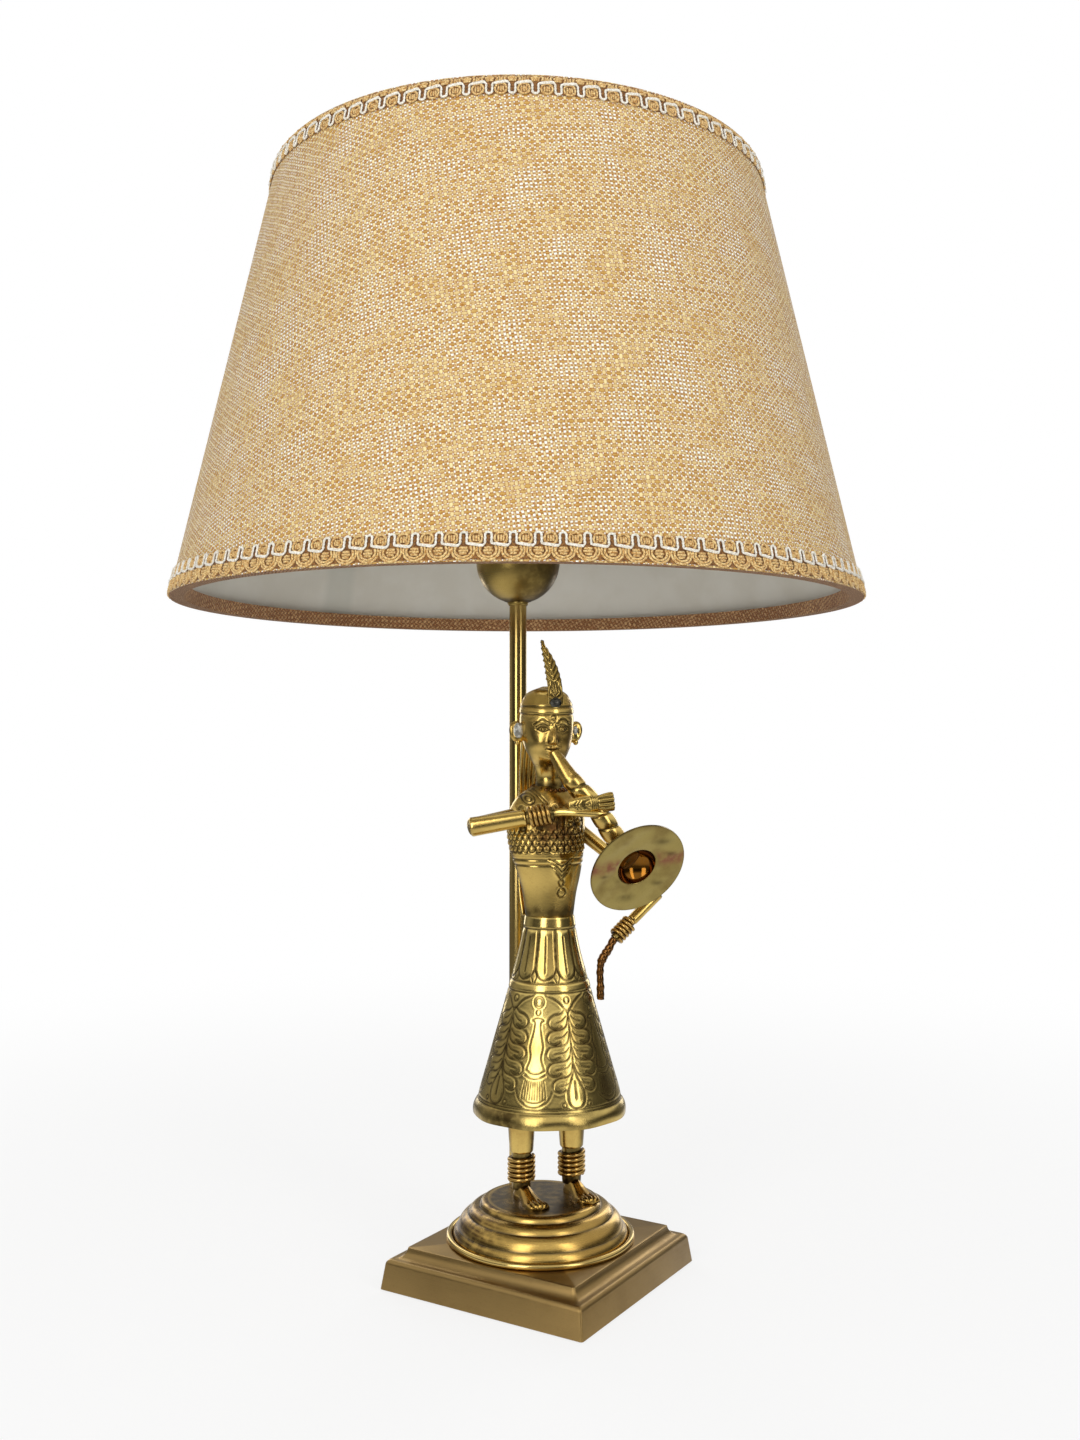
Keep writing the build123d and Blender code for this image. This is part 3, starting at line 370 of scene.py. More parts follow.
@dataclass
class Relief:
    """Lines and forms cut into an unrolled surface, in millimetres.

    Attributes:
        across: Place of each point across the surface.
        up: Place of each point up the surface.
    """

    across: Values
    up: Values
    cut: Values = field(init=False)
    swell: Values = field(init=False)
    dirt: Values = field(init=False)

    def __post_init__(self) -> None:
        """Start with a plain surface."""
        self.cut = np.zeros_like(self.across)
        self.swell = np.zeros_like(self.across)
        self.dirt = np.zeros_like(self.across)

    def near(self, line: Values, margin: float) -> tuple[Values, Values]:
        """Points close to a line.

        Args:
            line: Points of the line.
            margin: How close.

        Returns:
            Indices of the close points, and their distances.
        """
        (left, low), (right, high) = line.min(0) - margin, line.max(0) + margin
        inside = (self.across > left) & (self.across < right) & (self.up > low) & (self.up < high)
        index = np.flatnonzero(inside)
        x, y = self.across[index], self.up[index]
        gap = np.full(len(index), margin)
        for (ax, ay), (bx, by) in zip(line, line[1:]):
            dx, dy = bx - ax, by - ay
            share = np.clip(((x - ax) * dx + (y - ay) * dy) / (dx * dx + dy * dy + 1e-9), 0, 1)
            gap = np.minimum(gap, np.hypot(x - ax - share * dx, y - ay - share * dy))
        return index, gap

    def groove(self, points: Sequence[Point2], depth: float = 0.34, width: float = 0.42) -> None:
        """Cut a line with raised shoulders.

        Args:
            points: Points that the line passes.
            depth: Depth of the line.
            width: Half width of the line.
        """
        line = curve(points) if len(points) > 2 else np.array(points, float)
        index, gap = self.near(line, 5 * width)
        self.cut[index] = np.maximum(self.cut[index], depth * hump(gap, 0.0, width))
        shoulder = 0.2 * depth * hump(gap, 2.4 * width, 1.3 * width)
        self.swell[index] = np.maximum(self.swell[index], shoulder)
        self.dirt[index] = np.maximum(self.dirt[index], hump(gap, 0.0, 1.3 * width))

    def ring(self, centre: Point2, radius: float, depth: float = 0.32, width: float = 0.38) -> None:
        """Cut a ring and raise its middle.

        Args:
            centre: Middle of the ring.
            radius: Radius of the ring.
            depth: Depth of the line.
            width: Half width of the line.
        """
        angles = [math.tau * step / 20 for step in range(21)]
        points = [(centre[0] + radius * math.cos(a), centre[1] + radius * math.sin(a)) for a in angles]
        self.groove(points, depth, width)
        self.dome(centre, (0.8 * radius, 0.8 * radius), 0.6 * depth)

    def dome(self, centre: Point2, reach: Point2, rise: float) -> None:
        """Raise a soft oval of a half width and half height."""
        away = ((self.across - centre[0]) / reach[0]) ** 2 + ((self.up - centre[1]) / reach[1]) ** 2
        self.swell += rise * np.exp(-away)

    def carve(self, skin: Skin, share: Values | float = 1.0) -> None:
        """Add the relief, or a share of it, to a skin of the same points."""
        skin.height += share * (self.swell - self.cut)
        skin.add_dirt_and_shade(share * self.dirt)


# Shader nodes


class Graph:
    """Nodes of one shader tree, added and linked as they are named."""

    def __init__(self, tree: bpy.types.NodeTree) -> None:
        """Work on a tree."""
        self.tree = tree

    def node(self, kind: str, inputs: dict | None = None, **settings: object) -> Node:
        """Add a node.

        Args:
            kind: Node type, without its ShaderNode prefix.
            inputs: Values or sockets for its inputs, by name or number.
            settings: Properties of the node.

        Returns:
            The node.
        """
        made = self.tree.nodes.new("ShaderNode" + kind)
        for key, value in settings.items():
            setattr(made, key, value)
        return self.feed(made, inputs or {})

    def feed(self, node: Node, inputs: dict) -> Node:
        """Link or set the inputs of a node.

        Args:
            node: The node.
            inputs: Values or sockets for its inputs, by name or number.

        Returns:
            The same node.
        """
        for key, value in inputs.items():
            if isinstance(value, Socket):
                self.tree.links.new(value, node.inputs[key])
            else:
                node.inputs[key].default_value = value
        return node

    def math(self, operation: str, first: object, second: object = 0.0) -> Socket:
        """Result of a math node on two values or sockets."""
        return self.node("Math", {0: first, 1: second}, operation=operation).outputs[0]

    def step(self, value: object, low: float, high: float, least: float = 0.0, most: float = 1.0) -> Socket:
        """Soft step of a value from least at low to most at high."""
        inputs = {"Value": value, "From Min": low, "From Max": high, "To Min": least, "To Max": most}
        return self.node("MapRange", inputs, interpolation_type="SMOOTHSTEP").outputs[0]

    def mix(self, share: object, first: object, second: object) -> Socket:
        """Mix of two colours."""
        return self.node("Mix", {0: share, 6: first, 7: second}, data_type="RGBA").outputs[2]

    def blend(self, share: object, first: object, second: object) -> Socket:
        """Mix of two values."""
        return self.node("Mix", {0: share, 2: first, 3: second}, data_type="FLOAT").outputs[0]

    def noise(self, where: object, scale: object, detail: float = 3.0) -> Socket:
        """Value of a noise texture."""
        return self.node("TexNoise", {"Vector": where, "Scale": scale, "Detail": detail}).outputs[0]

    def object_place(self) -> Socket:
        """Object coordinates of the surface."""
        return self.node("TexCoord").outputs["Object"]

    def attribute(self, name: str) -> Socket:
        """Value of a point attribute."""
        return self.node("Attribute", attribute_name=name).outputs["Fac"]

    def group(self, tree: bpy.types.NodeTree, inputs: dict) -> Node:
        """Place a node group with its own values."""
        return self.node("Group", inputs, node_tree=tree)

    def bump(self, height: object, distance: float) -> Socket:
        """Normal bent by a height."""
        return self.node("Bump", {"Height": height, "Distance": distance, "Strength": 1.0}).outputs[0]

    def in_view(self, path: Node) -> Socket:
        """Whether a ray shows what it meets: to the camera, in gloss or through glass."""
        seen = self.math("MAXIMUM", path.outputs["Is Camera Ray"], path.outputs["Is Glossy Ray"])
        return self.math("MAXIMUM", seen, path.outputs["Is Transmission Ray"])


def new_group(name: str, inputs: dict[str, str], outputs: dict[str, str]) -> tuple[Graph, dict, Node]:
    """Start a shader node group.

    Args:
        name: Name of the group.
        inputs: Socket types by input name.
        outputs: Socket types by output name.

    Returns:
        Its graph, its input sockets by name, and its output node.
    """
    tree = bpy.data.node_groups.new(name, "ShaderNodeTree")
    for label, kind in inputs.items():
        tree.interface.new_socket(label, in_out="INPUT", socket_type="NodeSocket" + kind)
    for label, kind in outputs.items():
        tree.interface.new_socket(label, in_out="OUTPUT", socket_type="NodeSocket" + kind)
    graph = Graph(tree)
    source = tree.nodes.new("NodeGroupInput")
    sink = tree.nodes.new("NodeGroupOutput")
    return graph, {label: source.outputs[label] for label in inputs}, sink


@cache
def patina_group() -> bpy.types.NodeTree:
    """Tarnish of brass: brown blotches, fine mottle, and darkening from the point attribute, which holds
    dirt in the recesses and painted shade.

    Returns:
        The node group, built once.
    """
    inputs = {
        "Bright": "Color", "Brown": "Color", "Dark": "Color", "Red": "Color", "DirtAndShade": "Float",
        "Stain": "Float", "Blotch": "Float", "Brown Share": "Float", "Smooth": "Float", "Rough": "Float",
    }
    graph, given, sink = new_group(
        "brass_patina", inputs, {"Colour": "Color", "Roughness": "Float", "Height": "Float"}
    )
    place = graph.object_place()
    broad = graph.noise(place, given["Blotch"], 5.0)
    fine = graph.noise(place, 900.0, 4.0)
    mottle = graph.noise(place, 260.0, 3.0)
    cloud = graph.step(broad, 0.42, 0.72)
    brown = graph.math("MULTIPLY", cloud, given["Brown Share"])
    colour = graph.mix(brown, given["Bright"], given["Brown"])
    speck = graph.math("MULTIPLY", graph.step(fine, 0.54, 0.74), 0.16)
    colour = graph.mix(speck, colour, given["Brown"])
    stain = graph.math("MULTIPLY", given["Stain"], graph.step(mottle, 0.3, 0.62, 0.35, 1.0))
    colour = graph.mix(stain, colour, given["Red"])
    # Dirt in the recesses and painted shade, both from the point attribute, pull the colour towards the dark
    # one.
    dirt = graph.math("MULTIPLY", given["DirtAndShade"], graph.step(mottle, 0.25, 0.6, 0.62, 1.0))
    colour = graph.mix(dirt, colour, given["Dark"])
    dull = graph.math("MAXIMUM", graph.math("MAXIMUM", brown, dirt), stain)
    rough = graph.node("MapRange", {"Value": dull, "To Min": given["Smooth"], "To Max": given["Rough"]})
    ripple = graph.math("MULTIPLY", graph.math("SUBTRACT", mottle, 0.5), 0.08)
    graph.feed(sink, {
        "Colour": colour,
        "Roughness": graph.math("ADD", rough.outputs[0], ripple),
        "Height": graph.math("ADD", fine, graph.math("MULTIPLY", mottle, 1.6)),
    })
    return graph.tree


@cache
def brushing_group() -> bpy.types.NodeTree:
    """Fine parallel scratches of a brushed surface.

    Returns:
        The node group, built once.
    """
    graph, given, sink = new_group("brushing", {"Stretch": "Vector"}, {"Streaks": "Float"})
    mapping = graph.node("Mapping", {"Vector": graph.object_place(), "Scale": given["Stretch"]})
    broad = graph.noise(mapping.outputs[0], 1.0, 2.0)
    thin = graph.noise(mapping.outputs[0], 3.7, 2.0)
    graph.feed(sink, {"Streaks": graph.math("MULTIPLY", graph.math("ADD", broad, thin), 0.5)})
    return graph.tree


@cache
def weave_group() -> bpy.types.NodeTree:
    """Plain weave on flat cloth coordinates, with slubs, loose zones and open gaps.

    Returns:
        The node group, built once.
    """
    graph, given, sink = new_group(
        "plain_weave",
        {"Cloth": "Vector", "Warp": "Float", "Weft": "Float"},
        {"Height": "Float", "Gap": "Float", "Under": "Float", "Tone": "Float", "Over": "Float"},
    )
    shift = graph.node("TexNoise", {"Vector": given["Cloth"], "Scale": 130.0, "Detail": 3.0}).outputs[1]
    wander = graph.node("VectorMath", {0: shift, 1: (0.0018, 0.0018, 0.0)}, operation="MULTIPLY").outputs[0]
    cloth = graph.node("VectorMath", {0: given["Cloth"], 1: wander}, operation="ADD").outputs[0]
    parts = graph.node("SeparateXYZ", {0: cloth})
    u = graph.math("DIVIDE", parts.outputs[0], given["Warp"])
    v = graph.math("DIVIDE", parts.outputs[1], given["Weft"])
    column, row = graph.math("FLOOR", u), graph.math("FLOOR", v)
    pair = graph.math("FRACT", graph.math("MULTIPLY", graph.math("ADD", column, row), 0.5))
    over = graph.math("MULTIPLY", pair, 2.0)
    loose = graph.step(graph.noise(given["Cloth"], 46.0, 3.0), 0.3, 0.7, 0.37, 0.25)

    def thread(place: object, index: object, length: object, depth: float) -> tuple:
        """Cover and tone of one set of threads, from the place across them and along them."""
        across, along_it = graph.math("MULTIPLY", index, 1.73), graph.math("MULTIPLY", length, 0.11)
        spot = graph.node("CombineXYZ", {0: across, 1: along_it, 2: depth})
        slub = graph.noise(spot.outputs[0], 1.0, 2.0)
        away = graph.math("ABSOLUTE", graph.math("SUBTRACT", graph.math("FRACT", place), 0.5))
        half = graph.math("ADD", loose, graph.step(slub, 0.3, 0.7, -0.07, 0.09))
        inside = graph.math("DIVIDE", away, half)
        return graph.step(inside, 1.12, 0.86), graph.step(inside, 1.15, 0.1), slub

    warp_cover, warp_round, warp_tone = thread(u, column, v, 0.0)
    weft_cover, weft_round, weft_tone = thread(v, row, u, 9.0)
    top_cover = graph.blend(over, weft_cover, warp_cover)
    low_round = graph.blend(over, warp_round, weft_round)
    top_round = graph.math("MULTIPLY", graph.blend(over, weft_round, warp_round), top_cover)
    height = graph.math("MAXIMUM", top_round, graph.math("MULTIPLY", low_round, 0.5))
    gap = graph.math("SUBTRACT", 1.0, graph.math("MAXIMUM", warp_cover, weft_cover))
    spot = graph.node("CombineXYZ", {0: column, 1: row, 2: 3.0}).outputs[0]
    knot = graph.node("TexWhiteNoise", {"Vector": spot}).outputs["Value"]
    tone = graph.math("ADD", graph.blend(over, weft_tone, warp_tone), graph.step(knot, 0.0, 1.0, -0.2, 0.2))
    under = graph.math("SUBTRACT", 1.0, top_cover)
    graph.feed(sink, {"Height": height, "Gap": gap, "Under": under, "Tone": tone, "Over": over})
    return graph.tree


@cache
def fibre_group() -> bpy.types.NodeTree:
    """Fibres of spun yarn.

    Returns:
        The node group, built once.
    """
    graph, given, sink = new_group("yarn_fibre", {"Scale": "Float"}, {"Fibre": "Float"})
    place = graph.object_place()
    scaled = graph.node("VectorMath", {0: place, "Scale": given["Scale"]}, operation="SCALE").outputs[0]
    graph.feed(sink, {"Fibre": graph.noise(scaled, 1.0, 5.0)})
    return graph.tree


def start_material(name: str) -> tuple[Material, Graph, Node]:
    """Start a material.

    Args:
        name: Name of the material.

    Returns:
        The material, its graph and its Principled BSDF.
    """
    material = bpy.data.materials.new(name)
    material.use_nodes = True
    return material, Graph(material.node_tree), material.node_tree.nodes["Principled BSDF"]


@dataclass(frozen=True)
class BrassFinish:
    """Brass with a bright ground, brown blotches, a red stain, and a dark colour for dirt in recesses and
    painted shade.
    """

    name: str
    bright: Display
    brown: Display
    dark: Display = (38, 27, 16)
    red: Display = (92, 46, 22)
    smooth: float = 0.24
    rough: float = 0.5
    blotch: float = 55.0
    brown_share: float = 0.45
    ripple: float = 0.00002
    stretch: Point3 | None = None
    coat: float = 0.0

    @cache
    def material(self) -> Material:
        """Brass material, made once.

        Returns:
            The material.
        """
        material, graph, shader = start_material(self.name)
        dirt_and_shade = graph.group(patina_group(), {
            "Bright": linear(self.bright), "Brown": linear(self.brown), "Dark": linear(self.dark),
            "Red": linear(self.red), "DirtAndShade": graph.attribute("dirt_and_shade"), "Stain": graph.attribute("stain"),
            "Blotch": self.blotch, "Brown Share": self.brown_share, "Smooth": self.smooth,
            "Rough": self.rough,
        })
        height = dirt_and_shade.outputs["Height"]
        rough = dirt_and_shade.outputs["Roughness"]
        if self.stretch:
            streaks = graph.group(brushing_group(), {"Stretch": self.stretch}).outputs["Streaks"]
            height = graph.math("ADD", height, graph.math("MULTIPLY", streaks, 3.0))
            rough = graph.math("ADD", rough, graph.step(streaks, 0.35, 0.7, -0.04, 0.08))
        graph.feed(shader, {
            "Base Color": dirt_and_shade.outputs["Colour"], "Roughness": rough, "Metallic": 1.0,
            "Normal": graph.bump(height, self.ripple), "Coat Weight": self.coat, "Coat Roughness": 0.08,
        })
        return material


@dataclass(frozen=True)
class JuteFinish:
    """Plain woven jute with a pale lining in its gaps, painted light on its thread crowns and painted shade
    between its threads.
    """

    name: str = "jute_weave"
    thread: Display = (208, 163, 76)
    # Pale end of the thread tone, which also paints light on the crowns of the warp.
    straw_and_lit_crown: Display = (248, 230, 170)
    shadow: Display = (174, 102, 16)
    gap: Display = (254, 253, 242)
    warp: float = 2.1 * MM
    weft: float = 1.92 * MM

    @cache
    def material(self) -> Material:
        """Jute material, made once.

        Returns:
            The material.
        """
        material, graph, shader = start_material(self.name)
        cloth = graph.node("UVMap", uv_map="cloth").outputs[0]
        weave = graph.group(weave_group(), {"Cloth": cloth, "Warp": self.warp, "Weft": self.weft})
        fibre = graph.group(fibre_group(), {"Scale": 2600.0}).outputs["Fibre"]
        tone = graph.math("ADD", weave.outputs["Tone"], graph.math("MULTIPLY", fibre, 0.2))
        # Crowns of the top threads: the threads' own random tone, with the warp crowns painted paler as
        # painted light.
        weft_tone, warp_tone = graph.step(tone, 0.45, 0.8, 0.0, 0.6), graph.step(tone, 0.3, 0.75, 0.5, 1.0)
        crown = graph.blend(weave.outputs["Over"], weft_tone, warp_tone)
        colour = graph.mix(crown, linear(self.thread), linear(self.straw_and_lit_crown))
        # Painted shade at the thread edges, under the top threads and in random specks, in the shadow
        # colour.
        edge = graph.step(weave.outputs["Height"], 0.05, 0.7, 0.85, 0.0)
        under = graph.math("MULTIPLY", weave.outputs["Under"], 0.85)
        shadow_specks = graph.step(graph.noise(cloth, 640.0, 3.0), 0.54, 0.7, 0.0, 0.75)
        shaded = graph.math("MAXIMUM", graph.math("MAXIMUM", edge, under), shadow_specks)
        colour = graph.mix(shaded, colour, linear(self.shadow))
        colour = graph.mix(weave.outputs["Gap"], colour, linear(self.gap))
        raised = graph.math("ADD", weave.outputs["Height"], graph.math("MULTIPLY", fibre, 0.25))
        normal = graph.bump(raised, 0.0005)
        graph.feed(shader, {"Base Color": colour, "Normal": normal, "Roughness": 0.92, "Sheen Weight": 0.1})
        return material


@dataclass(frozen=True)
class YarnFinish:
    """Spun yarn of a braid or felt."""

    name: str
    pale: Display
    deep: Display
    scale: float = 1500.0
    depth: float = 0.0003
    rough: float = 0.85

    @cache
    def material(self) -> Material:
        """Yarn material, made once.

        Returns:
            The material.
        """
        material, graph, shader = start_material(self.name)
        fibre = graph.group(fibre_group(), {"Scale": self.scale}).outputs["Fibre"]
        graph.feed(shader, {
            "Base Color": graph.mix(graph.step(fibre, 0.36, 0.64), linear(self.deep), linear(self.pale)),
            "Normal": graph.bump(fibre, self.depth), "Roughness": self.rough, "Sheen Weight": 0.2,
        })
        return material


@dataclass(frozen=True)
class PlainFinish:
    """Moulded, filmed or plated surface with a fine mottle."""

    name: str
    light: Display
    deep: Display
    rough: float = 0.5
    metal: float = 0.0
    scale: float = 300.0
    depth: float = 0.00003
    seam: Display | None = None

    @cache
    def material(self) -> Material:
        """Plain material, made once.

        Returns:
            The material.
        """
        material, graph, shader = start_material(self.name)
        mottle = graph.noise(graph.object_place(), self.scale, 4.0)
        colour = graph.mix(graph.step(mottle, 0.35, 0.65), linear(self.deep), linear(self.light))
        if self.seam:
            colour = graph.mix(graph.attribute("stain"), colour, linear(self.seam))
        graph.feed(shader, {
            "Base Color": colour, "Normal": graph.bump(mottle, self.depth), "Metallic": self.metal,
            "Roughness": graph.step(mottle, 0.3, 0.7, self.rough - 0.06, self.rough + 0.06),
        })
        return material


@dataclass(frozen=True)
class FrostFinish:
    """Frosted bulb glass."""

    name: str = "frosted_glass"
    tint: Display = (246, 244, 238)

    @cache
    def material(self) -> Material:
        """Glass material, made once.

        Returns:
            The material.
        """
        material, graph, shader = start_material(self.name)
        frost = graph.noise(graph.object_place(), 1800.0, 3.0)
        graph.feed(shader, {
            "Base Color": linear(self.tint), "Normal": graph.bump(frost, 0.00004),
            "Transmission Weight": 0.1, "Roughness": graph.step(frost, 0.3, 0.7, 0.42, 0.56),
        })
        return material


# Stretch of fine scratches that run level
SPUN = (30.0, 30.0, 2600.0)
FIGURE_BRASS = BrassFinish(
    "aged_figure_brass", (222, 190, 108), (150, 110, 48), smooth=0.2, rough=0.36, brown_share=0.5
)
SKIRT_BRASS = BrassFinish(
    "chased_skirt_brass", (226, 198, 118), (164, 126, 56), (54, 37, 17), smooth=0.17,
    rough=0.4, brown_share=0.4,
)
DARK_BRASS = BrassFinish(
    "dark_cast_brass", (112, 76, 38), (58, 36, 20), (20, 13, 8), smooth=0.22, rough=0.4,
    blotch=140.0,
)
FOOT_BRASS = BrassFinish(
    "worn_foot_brass", (172, 138, 70), (84, 60, 28), (26, 18, 10), smooth=0.2, rough=0.36,
    blotch=140.0,
)
WIRE_BRASS = BrassFinish(
    "wound_wire_brass", (190, 154, 86), (112, 78, 38), smooth=0.2, rough=0.4, blotch=180.0
)
PLINTH_BRONZE = BrassFinish(
    "brushed_plinth_bronze", (152, 125, 77), (114, 90, 53), smooth=0.34, rough=0.44, blotch=24.0,
    brown_share=0.4, stretch=SPUN,
)
# The dome's dark colour fills its grooves and paints the reflection and shade on its flat top.
DOME_BRASS = BrassFinish(
    "spun_dome_brass", (196, 162, 88), (134, 102, 50), (64, 59, 52), (72, 50, 24),
    smooth=0.2, rough=0.32, blotch=30.0, brown_share=0.6, stretch=SPUN, ripple=0.000004,
)
POLE_BRASS = BrassFinish(
    "drawn_pole_brass", (200, 172, 104), (150, 120, 64), smooth=0.15, rough=0.28, blotch=26.0,
    stretch=(1500.0, 1500.0, 12.0), ripple=0.0000012,
)
CUP_BRASS = BrassFinish(
    "spun_cup_brass", (176, 150, 84), (122, 96, 46), (56, 42, 18), smooth=0.3, rough=0.42,
    blotch=26.0, brown_share=0.6, stretch=SPUN, ripple=0.000006,
)
BELL_BRASS = BrassFinish(
    "hammered_bell_brass", (164, 146, 86), (124, 102, 56), (58, 46, 26),
    (142, 92, 68), smooth=0.3, rough=0.44, blotch=70.0, brown_share=0.7,
)
AMBER_LACQUER = BrassFinish(
    "amber_lacquer", (126, 80, 13), (72, 43, 6), (40, 20, 6), smooth=0.1, rough=0.2,
    blotch=160.0, coat=0.2,
)
FITTING_BRASS = BrassFinish(
    "plain_fitting_brass", (214, 182, 104), (176, 140, 72), smooth=0.2, rough=0.36,
    brown_share=0.2,
)
SOLDER = PlainFinish("solder", (214, 213, 204), (140, 138, 130), 0.42, 0.55, 700.0, 0.0003)
DARK_SOLDER = PlainFinish("dark_solder", (104, 102, 94), (38, 36, 32), 0.4, 1.0, 500.0, 0.0003)
STEEL = PlainFinish("plated_steel", (190, 190, 192), (150, 150, 154), 0.34, 1.0)
MOULDING = PlainFinish("black_moulding", (34, 32, 31), (22, 21, 20), 0.46)
LINER_FILM = PlainFinish(
    "frosted_liner_film", (222, 219, 210), (215, 211, 200), 0.55, 0.0, 40.0, 0.00001,
    (196, 196, 186),
)
LEAD_COVER = PlainFinish("gold_lead_cover", (206, 184, 120), (178, 152, 92), 0.5)
FELT = YarnFinish("green_felt", (64, 92, 66), (34, 54, 38), 1900.0, 0.0004, 0.95)
TAN_YARN = YarnFinish("tan_yarn", (242, 214, 150), (188, 134, 62))
# Brown tape behind the braid; its dark colour also paints the shade in the gaps between the cords.
TAPE_AND_GAP_SHADE = YarnFinish("brown_tape_and_gap_shade", (158, 109, 51), (98, 61, 26), 1100.0)
WHITE_YARN = YarnFinish("white_yarn", (252, 250, 242), (222, 214, 194))
JUTE = JuteFinish()
# Darker copy of the jute for the turned-in hem: painted shade inside the shade's rim.
SHADED_HEM_JUTE = JuteFinish(
    "shaded_folded_jute", (164, 114, 70), (206, 162, 112), (112, 66, 32), (140, 92, 52)
)
FROST = FrostFinish()
Finish = BrassFinish | JuteFinish | YarnFinish | PlainFinish | FrostFinish


class Assembly:
    """Group of pieces that share a place and a body."""

    body: Body = Body.BASE
    place: Matrix = TO_METRES

    def add(
        self,
        name: str,
        made: Skin | Mesh | Shape,
        finish: Finish,
        slot: str,
        nodes: Sequence[str] = (),
        crease: float = 38.0,
    ) -> Piece:
        """Put a finished mesh into the scene.

        Args:
            name: Name of the piece.
            made: Its skin, mesh or shape, in this assembly's own millimetres.
            finish: Its finish.
            slot: Material slot of the record; not used.
            nodes: Construction nodes that it stands for.
            crease: Angle in degrees over which an edge stays sharp.

        Returns:
            The piece.
        """
        if isinstance(made, Shape):
            made = Skin(made, name)
        mesh = made.finish() if isinstance(made, Skin) else made
        mesh.transform(self.place)
        mesh.shade_smooth()
        mesh.set_sharp_from_angle(angle=math.radians(crease))
        mesh.materials.append(finish.material())
        piece = bpy.data.objects.new(name, mesh)
        bpy.context.scene.collection.objects.link(piece)
        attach(piece, self.body.value)
        if nodes:
            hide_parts(*nodes)
        LOG.info("%s: %d faces", name, len(mesh.polygons))
        return piece


def dress(nodes: dict[str, Finish]) -> None:
    """Give construction nodes that stay in view a finish.

    Args:
        nodes: Finish of each node.
    """
    for name, finish in nodes.items():
        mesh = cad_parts[name].data
        mesh.materials.clear()
        mesh.materials.append(finish.material())


@dataclass
class Plinth(Assembly):
    """Hollow square block with a cove under its platform."""

    centre_forward: float = BASE_FORWARD
    bottom_half: float = 54.9
    band_half: float = 53.2
    ledge_half: float = 51.7
    platform_half: float = 45.2
    band_top: float = 12.9
    ledge: float = 14.2
    wall: float = 1.4
    cove_sag: float = 1.7
    corner: float = 1.2

    def build(self) -> None:
        """Model the block as a turned square, soften its corners and dress what is under it."""
        low, high = span("base_plinth")
        foot, top = low.z, high.z
        outline = [(self.bottom_half - self.wall, foot), (self.bottom_half, foot)]
        outline.append((self.band_half + 0.1, self.band_top - 0.7))
        outline += bowed((self.band_half, self.band_top - 0.3), (self.ledge_half, self.ledge), -0.25, 4)
        lip = (self.platform_half + 0.5, top - 0.15)
        outline += bowed((self.ledge_half, self.ledge), lip, self.cove_sag, 12)
        outline += [lip, (self.platform_half, top), (0.0, top)]
        inner = self.platform_half - self.wall
        outline += [(0.0, top - self.wall), (inner, top - self.wall)]
        outline.append((self.ledge_half - self.wall, self.band_top - self.wall))
        shape = lathe([(half * math.sqrt(2), height) for half, height in outline], 4, closed=True)
        upright = []
        for edge in shape.edges:
            start, end = (vert.co for vert in edge.verts)
            if abs(start.z - end.z) > 0.01 and start.xy.length > self.platform_half:
                upright.append(edge)
        bmesh.ops.bevel(
            shape, geom=upright, offset=self.corner, affect="EDGES", segments=3, profile=0.5, material=-1,
            offset_type="OFFSET", clamp_overlap=True,
        )
        bmesh.ops.translate(shape, vec=(0, -self.centre_forward, 0), verts=shape.verts)
        self.add("plinth_block", shape, PLINTH_BRONZE, "plinth_bronze", ["base_plinth"], 30.0)
        fixings = (
            "base_plate", "base_plate_screws", "pedestal_stud", "pedestal_nut", "pole_washer", "pole_nut",
        )
        dress(dict.fromkeys(fixings, STEEL))
        dress({"cord_bush": MOULDING, "terminal_block": MOULDING, "lead_wire": LEAD_COVER})
        self.pad()

    def pad(self) -> None:
        """Model the felt under the base with its soft edge."""
        low, high = span("felt_pad")
        half = (high.x - low.x) / 2
        edge = 0.5
        outline = [(0.0, low.z), (half - edge, low.z), (half, low.z + edge), (half, high.z), (0.0, high.z)]
        shape = lathe(outline, 4)
        bmesh.ops.translate(shape, vec=(0, -self.centre_forward, 0), verts=shape.verts)
        self.add("felt_sheet", shape, FELT, "felt", ["felt_pad"])


